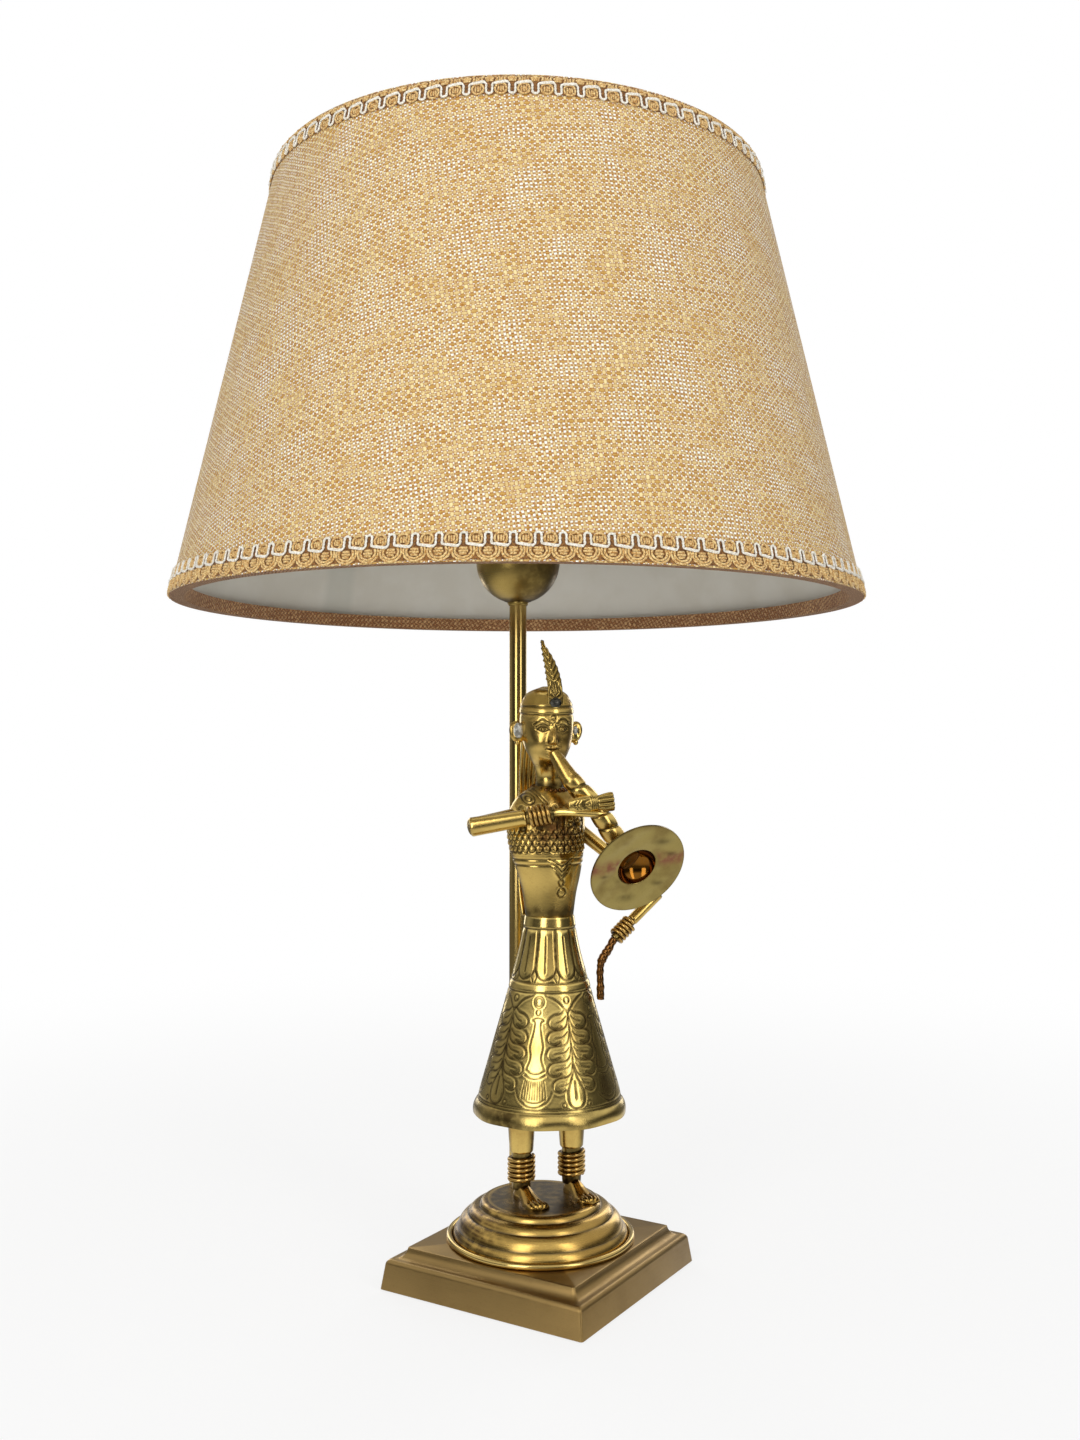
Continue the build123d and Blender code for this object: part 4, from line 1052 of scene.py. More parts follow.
@dataclass
class Pedestal(Assembly):
    """Banded dome under the figure, with the wire ring round its foot."""

    centre_forward: float = BASE_FORWARD
    grooves: tuple[Point2, ...] = ((39.9, 6.1), (35.0, 12.1), (29.4, 15.7))
    foot_radius: float = 42.0
    top_radius: float = 25.2
    band_sag: float = 0.95
    wall: float = 1.4
    under_radius: float = 23.5
    under_foot: tuple[Point2, ...] = ((38.0, 5.0), (40.4, 0.0))
    ring_wire: float = 1.5

    def build(self) -> None:
        """Turn the dome and its ring."""
        low, high = span("pedestal_dome")
        bottom, rise = low.z, high.z - low.z
        stations = ((self.foot_radius, 0.0), *self.grooves, (self.top_radius, rise))
        outline: list[Point2] = []
        for start, end in zip(stations, stations[1:]):
            outline += bowed(start, end, -self.band_sag, 14)
        outline += bowed((self.top_radius, rise), (0.0, rise), 0.0, 16) + [(0.0, rise)]
        roof = rise - self.wall
        under = [(0.0, roof), (self.under_radius, roof), *self.under_foot]
        shape = lathe(outline + under, 160, closed=True)
        skin = Skin(shape, "pedestal_turning")
        radius = skin.reach()
        for groove_radius, groove_height in self.grooves:
            away = np.hypot(radius - groove_radius, skin.points[:, 2] - groove_height)
            skin.add_dirt_and_shade(0.75 * hump(away, 0.0, 0.6))
        # Painted reflection and shade on the flat top, which lies under the skirt between the feet.
        flat = smooth_step(radius, self.top_radius + 0.2, self.top_radius - 1.6)
        level = skin.points[:, 2] > rise - 0.6
        skin.add_dirt_and_shade(np.where(level, 0.88 * flat, 0.0))
        foot = smooth_step(skin.points[:, 2], 1.6, 0.0)
        skin.add_dirt_and_shade(0.7 * foot)
        facing = skin.facing()
        streak = 0.75 + 0.25 * np.sin(4.1 * skin.points[:, 2] + 0.06 * facing)
        skin.stain = np.exp(-(((facing + 80.0) / 44.0) ** 4)) * streak * (radius > self.top_radius)
        skin.points += (0, -self.centre_forward, bottom)
        self.add("pedestal_turning", skin, DOME_BRASS, "dome_brass", ["pedestal_dome"], 24.0)
        ring_low, ring_high = span("pedestal_ring")
        mean = (ring_high.x - ring_low.x) / 2 - self.ring_wire
        angles = [math.tau * step / 12 for step in range(12)]
        circle = [(mean + self.ring_wire * math.cos(a), self.ring_wire * math.sin(a)) for a in angles]
        ring = lathe(circle, 160, closed=True)
        middle = (0, -self.centre_forward, ring_low.z + self.ring_wire)
        bmesh.ops.translate(ring, vec=middle, verts=ring.verts)
        self.add("pedestal_wire", ring, POLE_BRASS, "dome_brass", ["pedestal_ring"])


@dataclass
class Stand(Assembly):
    """Pole, collar, cup, harp, lamp holder and bulb on the axis of the shade."""

    pole_radius: float = 4.5
    pole_bore: float = 3.1
    pole_neck: float = 4.0
    cup_radius: float = 21.85
    cup_seat: float = 7.6
    cup_bore: float = 4.1
    cup_lip: float = 3.4
    cup_wall: float = 1.0

    def build(self) -> None:
        """Turn what shows and dress the fittings inside the shade."""
        plinth_top = span("base_plinth")[1].z
        cup_low, cup_high = span("socket_cup")
        pole_low, pole_high = span("lamp_pole")
        rows = 40
        bore, neck, full = self.pole_bore, self.pole_neck, self.pole_radius
        outline = [(bore, pole_low.z), (neck, pole_low.z), (neck, plinth_top), (full, plinth_top)]
        step = (cup_low.z - plinth_top) / rows
        outline += [(full, plinth_top + 0.2 + row * step) for row in range(rows)]
        outline += [(full, cup_low.z), (neck, cup_low.z), (neck, pole_high.z), (bore, pole_high.z)]
        skin = Skin(lathe(outline, 56, closed=True), "pole_tube")
        foot = smooth_step(skin.points[:, 2], plinth_top + 5.0, plinth_top)
        skin.dirt_and_shade = 0.8 * foot
        self.add("pole_tube", skin, POLE_BRASS, "antique_brass", ["lamp_pole"])
        self.cup(cup_low.z, cup_high.z)
        self.collar()
        fittings = (
            "harp_saddle", "harp_wire", "harp_stud", "right_harp_sleeve", "left_harp_sleeve", "socket_cap",
            "socket_shell", "socket_screw_shell", "socket_contact", "finial",
        )
        dress(dict.fromkeys(fittings, FITTING_BRASS))
        dress({"socket_base": MOULDING, "switch_knob": MOULDING, "bulb_cap": STEEL, "bulb_globe": FROST})

    def cup(self, bottom: float, rim: float) -> None:
        """Turn the cup.

        Args:
            bottom: Height of its seat.
            rim: Height of its rim.
        """
        centre = rim - self.cup_lip
        start = math.asin(self.cup_seat / self.cup_radius)
        outline = [(self.cup_bore, bottom), (self.cup_seat - 0.4, bottom)]
        for step in range(25):
            angle = start + (math.pi / 2 - start) * step / 24
            outline.append((self.cup_radius * math.sin(angle), centre - self.cup_radius * math.cos(angle)))
        inner = self.cup_radius - self.cup_wall
        outline += [(self.cup_radius, rim - 0.3), (self.cup_radius - 0.3, rim), (inner, rim)]
        for step in range(13):
            angle = math.pi / 2 - (math.pi / 2 - start) * step / 12
            outline.append((inner * math.sin(angle), centre - inner * math.cos(angle)))
        outline.append((self.cup_bore, bottom + self.cup_wall))
        skin = Skin(lathe(outline, 96, closed=True), "cup_turning")
        facing = skin.facing()
        # Painted shade on the cup's right side; the cup is also darker at its seat.
        painted_shade = 0.65 * smooth_step(facing, -45.0, 10.0)
        skin.dirt_and_shade = np.maximum(painted_shade, 0.75 * smooth_step(skin.points[:, 2], bottom + 1.4, bottom))
        self.add("cup_turning", skin, CUP_BRASS, "antique_brass", ["socket_cup"])

    def collar(self) -> None:
        """Turn the collar under the cup."""
        low, high = span("pole_collar")
        foot, ring, top = 4.9, 5.5, (high.x - low.x) / 2
        crown = high.z - 0.7
        bottom = crown - 1.9
        outline = [(self.pole_radius, bottom)] + bowed((foot, bottom), (ring, crown), -0.2, 6)
        outline += [(ring, crown), (top - 0.6, high.z - 0.4), (top, high.z), (self.pole_radius, high.z)]
        skin = Skin(lathe(outline, 56, closed=True), "collar_turning")
        height = skin.points[:, 2]
        skin.add_dirt_and_shade(0.9 * smooth_step(height, crown - 0.3, crown))
        skin.add_dirt_and_shade(0.8 * smooth_step(height, bottom + 0.3, bottom))
        self.add("collar_turning", skin, CUP_BRASS, "antique_brass", ["pole_collar"])


@dataclass
class Shade(Assembly):
    """Jute cover on its liner, with braid trims."""

    body: Body = Body.SHADE
    cover: float = 1.0
    fold: float = 7.0
    film: float = 0.6
    wire_pack: float = 4.7
    ring_wire: float = 2.0
    ring_depth: float = 3.76
    grain_turn: float = 4.0
    steps: int = 224
    bottom_motifs: int = 111
    top_motifs: int = 80
    yarn: float = 0.5
    wrap: float = 4.4

    def __post_init__(self) -> None:
        """Read the cone from the construction."""
        low, high = span("shade_fabric")
        self.low, self.high = low.z, high.z
        self.bottom_radius = (high.x - low.x) / 2
        trim_low, trim_high = span("shade_top_trim")
        self.trim = trim_high.z - trim_low.z
        self.top_edge = trim_high.z
        ring_low, ring_high = span("shade_top_ring")
        top_radius = (ring_high.x - ring_low.x) / 2 - self.ring_wire + self.ring_depth
        ring_height = (ring_high.z + ring_low.z) / 2
        self.slope = (self.bottom_radius - top_radius) / (ring_height - self.low)
        self.slant = math.sqrt(1 + self.slope**2)

    def radius(self, height: float | Values, depth: float = 0.0) -> float | Values:
        """Radius of the cone at a height, a depth inside its outer face."""
        return self.bottom_radius - self.slope * (height - self.low) - depth * self.slant

    def build(self) -> None:
        """Make the cover, the liner and both trims."""
        cover = self.make_cover()
        self.make_liner()
        bottom = self.make_trim(Edge.BOTTOM, self.bottom_motifs)
        top = self.make_trim(Edge.TOP, self.top_motifs)
        dress({"shade_bottom_ring": STEEL, "shade_top_ring": STEEL, "shade_spider": FITTING_BRASS})

    def cloth_map(self, mesh: Mesh) -> None:
        """Lay the mesh out flat, as the sector of cloth that it was cut from.

        Args:
            mesh: Turned mesh of four-sided faces, in millimetres.
        """
        points = read(mesh.vertices, "co")
        angle = np.arctan2(points[:, 0], -points[:, 1])
        corner = np.empty(len(mesh.loops), np.int32)
        mesh.loops.foreach_get("vertex_index", corner)
        theta = angle[corner].reshape(-1, 4)
        wraps = theta.max(1) - theta.min(1) > math.pi
        theta = np.where(wraps[:, None] & (theta < 0), theta + math.tau, theta)
        sector = self.slope / self.slant
        reach = np.hypot(points[:, 0], points[:, 1])[corner].reshape(-1, 4) / sector
        turned = theta * sector - math.radians(self.grain_turn)
        layer = mesh.uv_layers.new(name="cloth")
        places = np.stack([reach * np.sin(turned), reach * np.cos(turned)], axis=-1) * MM
        layer.data.foreach_set("uv", places.ravel())

    def make_cover(self) -> Piece:
        """Turn the jute cover with both edges folded in.

        Returns:
            The cover.
        """
        rows = 40
        heights = [self.low + (self.high - self.low) * row / rows for row in range(rows + 1)]
        outer = [(self.radius(height), height) for height in heights]
        fold_inside = self.wire_pack + self.cover
        fold_depth = fold_inside + self.cover
        turned_in = (
            (0.0, fold_depth), (self.fold, fold_depth), (self.fold, fold_inside), (self.cover, fold_inside),
            (self.cover, self.cover),
        )
        places = [(self.high - inset, depth) for inset, depth in turned_in]
        places += [(self.low + inset, depth) for inset, depth in reversed(turned_in)]
        inner = [(self.radius(height, depth), height) for height, depth in places]
        mesh = Skin(lathe(outer + inner, self.steps, closed=True), "jute_cover").finish()
        self.cloth_map(mesh)
        cover = self.add("jute_cover", mesh, JUTE, "jute", ["shade_fabric"])
        # The turned-in faces take the darker jute, as painted shade inside the rim.
        mesh.materials.append(SHADED_HEM_JUTE.material())
        x, y, height = read(mesh.polygons, "center").T / MM
        depth = self.radius(height) - np.hypot(x, y)
        mesh.polygons.foreach_set("material_index", (depth > 1.2 * self.cover).astype(np.int32))
        return cover

    def make_liner(self) -> None:
        """Turn the liner, with the overlap of its ends as a raised strip."""
        depth, film = self.cover, self.film
        rows = 10
        low, high = self.low + self.cover, self.high - self.cover
        heights = [low + (high - low) * row / rows for row in range(rows + 1)]
        outer = [(self.radius(height, depth), height) for height in heights]
        inner = [(self.radius(height, depth + film), height) for height in reversed(heights)]
        skin = Skin(lathe(outer + inner, self.steps, closed=True), "shade_liner_film")
        radius = skin.reach()
        middle = self.radius(skin.points[:, 2], depth + film / 2)
        overlap = smooth_step(np.abs(skin.facing() + 152.0), 3.4, 2.6) * (radius < middle)
        skin.points[:, :2] *= (1 - 0.45 * overlap / radius)[:, None]
        skin.stain = 0.5 * overlap
        self.add("shade_liner_film", skin, LINER_FILM, "liner_film", ["shade_liner"])

    def on_cone(self, turn: float, rise: float, proud: float) -> Point3:
        """Point at an angle in radians and a height, proud of the cover."""
        reach = self.radius(rise, -proud)
        return (reach * math.sin(turn), -reach * math.cos(turn), rise)

    def yarns(self, name: str, paths: Sequence[Sequence[Point4]], radius: float, ring: bool) -> Mesh:
        """Mesh of round yarns along paths.

        Args:
            name: Name of the mesh.
            paths: Points of each yarn, each with its share of the radius.
            radius: Radius of the yarn.
            ring: Whether each yarn closes on itself.

        Returns:
            One mesh with all yarns.
        """
        line = bpy.data.curves.new(name, "CURVE")
        line.dimensions = "3D"
        line.bevel_depth = radius
        line.bevel_resolution = 1
        line.use_fill_caps = True
        for path in paths:
            spline = line.splines.new("POLY")
            spline.points.add(len(path) - 1)
            spline.points.foreach_set("co", [value for point in path for value in (*point[:3], 1.0)])
            spline.points.foreach_set("radius", [point[3] for point in path])
            spline.use_cyclic_u = ring
        holder = bpy.data.objects.new(name, line)
        mesh = bpy.data.meshes.new_from_object(holder)
        bpy.data.objects.remove(holder)
        bpy.data.curves.remove(line)
        mesh.name = name
        return mesh

    def make_trim(self, edge: Edge, motifs: int) -> list[Piece]:
        """Lay a gimp braid round one edge: scallops, ribbed blocks and a white hairpin cord.

        Args:
            edge: Edge of the shade.
            motifs: How many scallops go round.

        Returns:
            The braid's pieces.
        """
        at_top = edge is Edge.TOP
        start = self.top_edge + 1.4 if at_top else self.low
        way = -1.0 if at_top else 1.0
        pitch = math.tau * self.radius(start + way * self.trim / 2) / motifs
        cord = 1.04 * self.yarn

        def place(index: float, across: float, rise: float, proud: float, thick: float = 1.0) -> Point4:
            """Point of one motif, from its own millimetres, with its share of the yarn's radius."""
            if at_top and rise < self.wrap:
                proud -= 0.5 * (self.wrap - rise)
                rise = self.wrap - 0.5 * (self.wrap - rise)
            turn = math.tau * (index + across / pitch) / motifs
            return (*self.on_cone(turn, start + way * rise, proud), thick)

        half = pitch / 2
        white: list[Point4] = []
        tan: list[list[Point4]] = []
        leg = [(-1.3, 7.3 + 0.74 * step, 0.95, 0.74 + 0.4 * (step % 2)) for step in range(6)]
        swoosh = ((-half, 6.75, 1.15, 1.2), (-0.72 * half, 6.5, 1.25, 1.3), (-0.44 * half, 6.45, 1.15, 1.15))
        rising = ((0.44 * half, 7.15, 1.15, 1.1), (0.72 * half, 6.95, 1.25, 1.25))
        crown = ((-0.95, 11.7, 0.95, 0.85), (0.0, 12.0, 0.95, 1.1), (0.95, 11.7, 0.95, 0.85))
        hairpin = (*swoosh, *leg, *crown, *[(-point[0], *point[1:]) for point in reversed(leg)], *rising)
        for index in range(motifs):
            white += [place(index, *point) for point in hairpin]
            for wide, tall, lift in ((0.92 * half, 3.95, 0.62), (0.67 * half, 2.9, 0.85)):
                open_turn = math.asin(1.6 / tall)
                tan.append([])
                for step in range(13):
                    angle = math.pi - open_turn + (math.pi + 2 * open_turn) * step / 12
                    across, rise = wide * math.cos(angle), 4.6 + tall * math.sin(angle)
                    tan[-1].append(place(index, across, rise, lift, 0.86 + 0.3 * (step % 2)))
            for row in range(3):
                wide = (1.3, 1.9, 1.5)[row]
                rise = 3.2 + 1.15 * row
                rib = ((-wide, rise, 0.45), (0, rise, 0.95, 1.15), (wide, rise, 0.45))
                tan.append([place(index, *point) for point in rib])
            tan.append([])
            for step in range(11):
                angle = math.tau * step / 10
                across, rise = half + 2.55 * math.cos(angle), 9.5 + 2.5 * math.sin(angle)
                tan[-1].append(place(index, across, rise, 0.7, 0.9 + 0.25 * (step % 2)))
            for column in (-1.0, 0.1, 1.1):
                across = half + column
                rib = ((across, 8.3, 0.35, 0.8), (across, 9.5, 0.7), (across, 10.7, 0.35, 0.8))
                tan.append([place(index, *point) for point in rib])
        name = f"{edge.value}_braid"
        node = f"shade_{edge.value}_trim"
        low, high = sorted((start + way * (3.0 if at_top else 0.9), start + way * 11.8))
        tape = 0.3
        strip = [
            (self.radius(low, 0.02), low), (self.radius(low, -tape), low), (self.radius(high, -tape), high),
            (self.radius(high, 0.02), high),
        ]
        made = (
            ("white_cord", self.yarns("white", [white], cord, True), WHITE_YARN),
            ("scallops", self.yarns("tan", tan, self.yarn, False), TAN_YARN),
            # The tape's dark colour also paints the shade in the gaps between the cords.
            ("tape", lathe(strip, self.steps, closed=True), TAPE_AND_GAP_SHADE),
        )
        return [self.add(f"{name}_{part}", mesh, finish, "braid", [node]) for part, mesh, finish in made]


class FigurePart(Assembly):
    """Part of the figure, in the figure's own frame.

    Across is to the figure's left hand, the figure looks along -Y, and heights are above the dome.
    """

    turn: float = math.radians(7.0)

    def __init__(self) -> None:
        """Stand the part on the dome, on the skirt's axis."""
        low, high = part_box("skirt")
        middle = (low + high) / 2
        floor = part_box("pedestal_dome")[1].z
        stand = Matrix.Translation((middle.x, middle.y, floor))
        self.place = stand @ Matrix.Rotation(self.turn, 4, "Z") @ TO_METRES

    def brass(self, name: str, made: Skin | Mesh, nodes: Sequence[str] = (), crease: float = 60.0) -> Piece:
        """Put a piece of the figure's own brass into the scene."""
        return self.add(name, made, FIGURE_BRASS, "figure_brass", nodes, crease)

    def winding(self, name: str, node: str, shape: Shape, place: Matrix, mean: float, bare: float) -> None:
        """Put a wound wire into the scene, with its inner half darkened.

        Args:
            name: Name of the piece.
            node: Construction node that it stands for.
            shape: The winding about the Z axis.
            place: Where it goes.
            mean: Radius at the wire's middle.
            bare: How far outside that radius the wire is left undarkened.
        """
        skin = Skin(shape, name)
        skin.add_dirt_and_shade(0.9 * smooth_step(skin.reach(), mean + bare, mean - 0.2))
        skin.move(place)
        self.add(name, skin, WIRE_BRASS, "wound_brass", [node], 60.0)

    def rod(self, start: Point3, end: Point3, first: float, last: float, edge: float = 0.6) -> Skin:
        """Round rod between two points.

        Args:
            start: First end.
            end: Last end.
            first: Radius at the first end.
            last: Radius at the last end.
            edge: Size of the softened edges.

        Returns:
            The rod's skin.
        """
        length = (Vector(end) - Vector(start)).length
        shape = lathe(rod_outline(length, first, last, edge, 24), 40)
        bmesh.ops.transform(shape, matrix=along(start, end), verts=shape.verts)
        return Skin(shape, "rod")

    def tube(
        self, path: Sequence[Point3], radii: Sequence[float], rows: int, steps: int, edge: float = 0.4
    ) -> tuple[Skin, Values, Values]:
        """Round tube along a bent path.

        Args:
            path: Points that its middle passes.
            radii: Radius at each of those points.
            rows: Rows along it.
            steps: Facets around it.
            edge: Size of the softened ends.

        Returns:
            The tube's skin, and each point's share of the length and angle around.
        """
        outline = [(0.0, 0.0), (1.0 - edge, 0.0)] + [(1.0, row / rows) for row in range(rows + 1)]
        outline += [(1.0 - edge, 1.0), (0.0, 1.0)]
        skin = Skin(lathe(outline, steps), "tube")
        share = skin.points[:, 2].copy()
        around = np.arctan2(skin.points[:, 1], skin.points[:, 0])
        stations = np.linspace(0, 1, len(path))

        def middle(places: Values) -> Values:
            """Points of the path at shares of its length."""
            columns = np.array(path).T
            return np.stack([flow(places, list(zip(stations, column))) for column in columns], axis=1)

        way = middle(share + 0.01) - middle(share - 0.01)
        way /= np.linalg.norm(way, axis=1)[:, None]
        side = np.cross(way, (0.0, 1.0, 0.0))
        side /= np.linalg.norm(side, axis=1)[:, None]
        other = np.cross(way, side)
        size = flow(share, list(zip(stations, radii)))[:, None]
        skin.points = middle(share) + size * (skin.points[:, :1] * side + skin.points[:, 1:2] * other)
        return skin, share, around


class Skirt(FigurePart):
    """Hollow cone of the skirt, with petals, sprays of leaves and tassels cut into it."""

    hem: float = 41.9
    hem_radius: float = 36.9
    rim_top: float = 48.6
    waist: float = 135.8
    stations: tuple[Point2, ...] = (
        (48.6, 34.98), (60.0, 31.7), (80.0, 25.96), (100.0, 20.22), (104.6, 18.9), (111.0, 17.0),
        (117.6, 15.2), (126.0, 13.3), (130.6, 12.5), (135.8, 11.7),
    )
    panels: int = 5
    petals: int = 10
    petal_turn: float = 8.4
    depth: float = 0.45
    line: float = 0.44
    leaf_reach: tuple[float, ...] = (9.8, 11.2, 12.2, 12.4, 11.0)
    panel_turn: float = 2.0
    band_lines: tuple[float, ...] = (130.6, 105.8, 101.5, 50.4, 49.0)
    leaf_tops: tuple[float, ...] = (89.0, 82.1, 75.2, 68.3, 61.4)
    tassel_lines: tuple[tuple[Point2, ...], ...] = (
        (
            (0.0, 90.6), (1.6, 90.3), (3.0, 89.4), (1.6, 88.2), (2.0, 84.0), (3.4, 78.0), (2.8, 73.0),
            (4.6, 68.0),
        ),
        ((0.0, 66.0), (2.4, 66.4), (4.8, 67.6)),
        ((0.0, 63.8), (2.6, 64.2), (5.2, 65.4)),
    )

    def build(self) -> None:
        """Turn the skirt and cut its ornament."""
        row = 0.45
        rim_radius, waist_radius = self.stations[0][1], self.stations[-1][1]
        outer: list[Point2] = bowed((self.hem_radius, self.hem), (rim_radius, self.rim_top), -0.8, 14)
        heights = np.arange(self.rim_top, self.waist, row)
        outer += list(zip(flow(heights, self.stations).tolist(), heights.tolist()))
        lid = self.waist - 2.0
        inner = [
            (waist_radius, self.waist), (0.0, self.waist), (0.0, lid), (10.2, lid), (13.7, 117.6),
            (17.4, 104.6), (35.4, self.hem),
        ]
        skin = Skin(lathe(outer + inner, 440, closed=True), "skirt_cone")
        x, y, z = skin.points.T
        radius = np.hypot(x, y)
        facing = np.arctan2(x, -y)
        outside = radius > flow(z, ((self.hem, 36.6),) + self.stations) - 0.5
        self.cut_bands(skin, z, outside)
        self.cut_petals(skin, facing, radius, z, outside)
        self.cut_sprays(skin, facing, radius, z, outside)
        self.age(skin, facing, z, outside)
        self.add("skirt_cone", skin, SKIRT_BRASS, "figure_brass", ["skirt"], 50.0)
        dress({"skirt_plate": FITTING_BRASS})

    def fold(self, facing: Values, copies: int, turn: float) -> Values:
        """Angle from the middle of the nearest of some equal parts, in radians."""
        part = math.tau / copies
        return (facing - math.radians(turn) + part / 2) % part - part / 2

    def cut_bands(self, skin: Skin, z: Values, outside: Values) -> None:
        """Cut the lines that run right round."""
        for height in self.band_lines:
            skin.score(hump(z, height, 0.55) * outside, 0.2, 0.95)
        waist, upper, lower = self.band_lines[:3]
        skin.height += 0.3 * smooth_step(z, waist, waist + 0.8) * outside
        between = smooth_step(z, lower, lower + 0.7) * smooth_step(z, upper, upper - 0.7)
        skin.height += 0.25 * between * outside

    def cut_petals(self, skin: Skin, facing: Values, radius: Values, z: Values, outside: Values) -> None:
        """Cut the long petals under the waist."""
        angle = self.fold(facing, self.petals, self.petal_turn)
        side = np.abs(angle) * radius
        half = math.pi / self.petals
        relief = Relief(np.where(outside, side, FAR), z)
        edge = [(half * r - 0.3, h) for r, h in ((12.5, 129.8), (14.0, 122.5), (15.9, 115.2), (16.7, 112.2))]
        relief.groove(edge, 0.26, self.line)
        tip = [edge[-1], (0.72 * half * 17.0, 109.3), (0.4 * half * 17.3, 107.8), (0.0, 107.2)]
        relief.groove(tip, 0.26, self.line)
        relief.groove([(0.0, 127.0), (0.0, 118.0), (0.0, 110.6)], 0.22, 0.38)
        between = [(half * 16.9 - 0.2, 111.4), (half * 17.2 - 1.1, 108.6), (half * 17.9 - 0.2, 106.4)]
        relief.groove(between, 0.3, 0.3)
        middle = np.clip(side / (half * np.maximum(radius, 1.0)), 0, 1)
        pillow = smooth_step(z, 107.4, 110.5) * smooth_step(z, 130.2, 128.5) * outside
        skin.height += 0.2 * (1 - middle**2) * pillow
        relief.cut *= self.depth
        relief.carve(skin)

    def cut_sprays(self, skin: Skin, facing: Values, radius: Values, z: Values, outside: Values) -> None:
        """Cut the sprays of leaves and the tassels between them."""
        part = math.pi / self.panels
        angle = self.fold(facing, self.panels, self.panel_turn)
        here = outside & (z > 50.2) & (z < 101.6)
        spray = Relief(np.where(here, np.abs(angle) * radius, FAR), z)
        spray.groove([(0.0, 92.6), (0.0, 80.0), (0.0, 67.0)], 0.22, self.line)
        spray.groove([(0.0, 92.6), (2.2, 95.2), (5.2, 98.2), (9.6, 100.6)], 0.2, self.line)
        spray.ring((0.0, 98.4), 1.5, 0.2, 0.34)
        for lobe, wide in zip(self.leaf_tops, self.leaf_reach):
            stalk = [(0.3, min(lobe + 8.6, 94.0)), (1.5, lobe + 5.2), (4.0, lobe + 3.4)]
            tip = ((-3.0, 2.7), (-0.8, 1.1), (0.0, -1.1), (-1.2, -3.0), (-3.4, -3.4), (-5.8, -2.4))
            spray.groove(stalk + [(wide + across, lobe + up) for across, up in tip], 0.2, self.line)
            spray.groove([(1.2, lobe + 2.4), (3.8, lobe + 0.3), (wide - 3.8, lobe - 0.6)], 0.14, 0.34)
            spray.dome((wide - 2.9, lobe - 0.4), (2.8, 2.3), 0.12)
        bud = [(0.0, 67.6), (2.4, 62.6), (4.5, 57.4), (4.1, 53.4), (2.2, 51.5), (0.0, 51.0)]
        spray.groove(bud, 0.22, self.line)
        spray.groove([(0.0, 62.8), (0.0, 59.0), (0.0, 55.0)], 0.2, self.line)
        spray.dome((2.2, 56.5), (1.6, 3.6), 0.1)
        spray.ring((6.4, 52.6), 1.0, 0.18, 0.32)
        spray.cut *= self.depth
        spray.carve(skin)
        tassel = Relief(np.where(here, (part - np.abs(angle)) * radius, FAR), z)
        tassel.ring((0.0, 97.6), 2.7, 0.2, 0.34)
        tassel.ring((0.0, 97.6), 1.7, 0.14, 0.3)
        tassel.ring((0.0, 93.0), 1.3, 0.18, 0.32)
        for points in self.tassel_lines:
            tassel.groove(points, 0.2, 0.34)
        for line in range(5):
            foot = 0.55 + 1.25 * line
            tassel.groove([(0.82 * foot, 62.6 + 0.12 * line), (foot, 58.6), (1.08 * foot, 55.0)], 0.18, 0.3)
        tassel.groove([(0.0, 51.6), (3.6, 52.2), (7.2, 54.6), (9.0, 58.6), (9.4, 62.0)], 0.2, 0.36)
        tassel.groove([(0.0, 53.6), (3.0, 54.0), (5.8, 55.6)], 0.16, 0.34)
        tassel.dome((0.0, 78.0), (2.6, 9.0), 0.12)
        tassel.cut *= self.depth
        tassel.carve(skin)

    def age(self, skin: Skin, facing: Values, z: Values, outside: Values) -> None:
        """Stain one side, darken the rim with tarnish blotches and painted shade, and dent the hem a little.
        """
        smear = hump(np.degrees(facing) + 0.16 * (z - 75.0), 30.0, 5.5)
        smear *= smooth_step(z, 43.0, 52.0) * smooth_step(z, 101.0, 90.0) * outside
        skin.stain = 0.4 * smear
        # The whole rim is darkened as painted shade against the floor's bright reflection, more on its left
        # side; the wave round it adds blotches of tarnish.
        rim = smooth_step(z, 49.4, 48.2) * outside
        blotch = 0.32 + 0.4 * smooth_step(np.degrees(facing), -8.0, -45.0) + 0.2 * np.sin(6.0 * facing + 1.1)
        skin.add_dirt_and_shade(blotch * rim)
        skin.dirt_and_shade = np.where(outside, skin.dirt_and_shade, 0.75)
        skin.height += 0.18 * np.sin(9 * facing + 0.7) * smooth_step(z, 47.0, 42.0) * outside


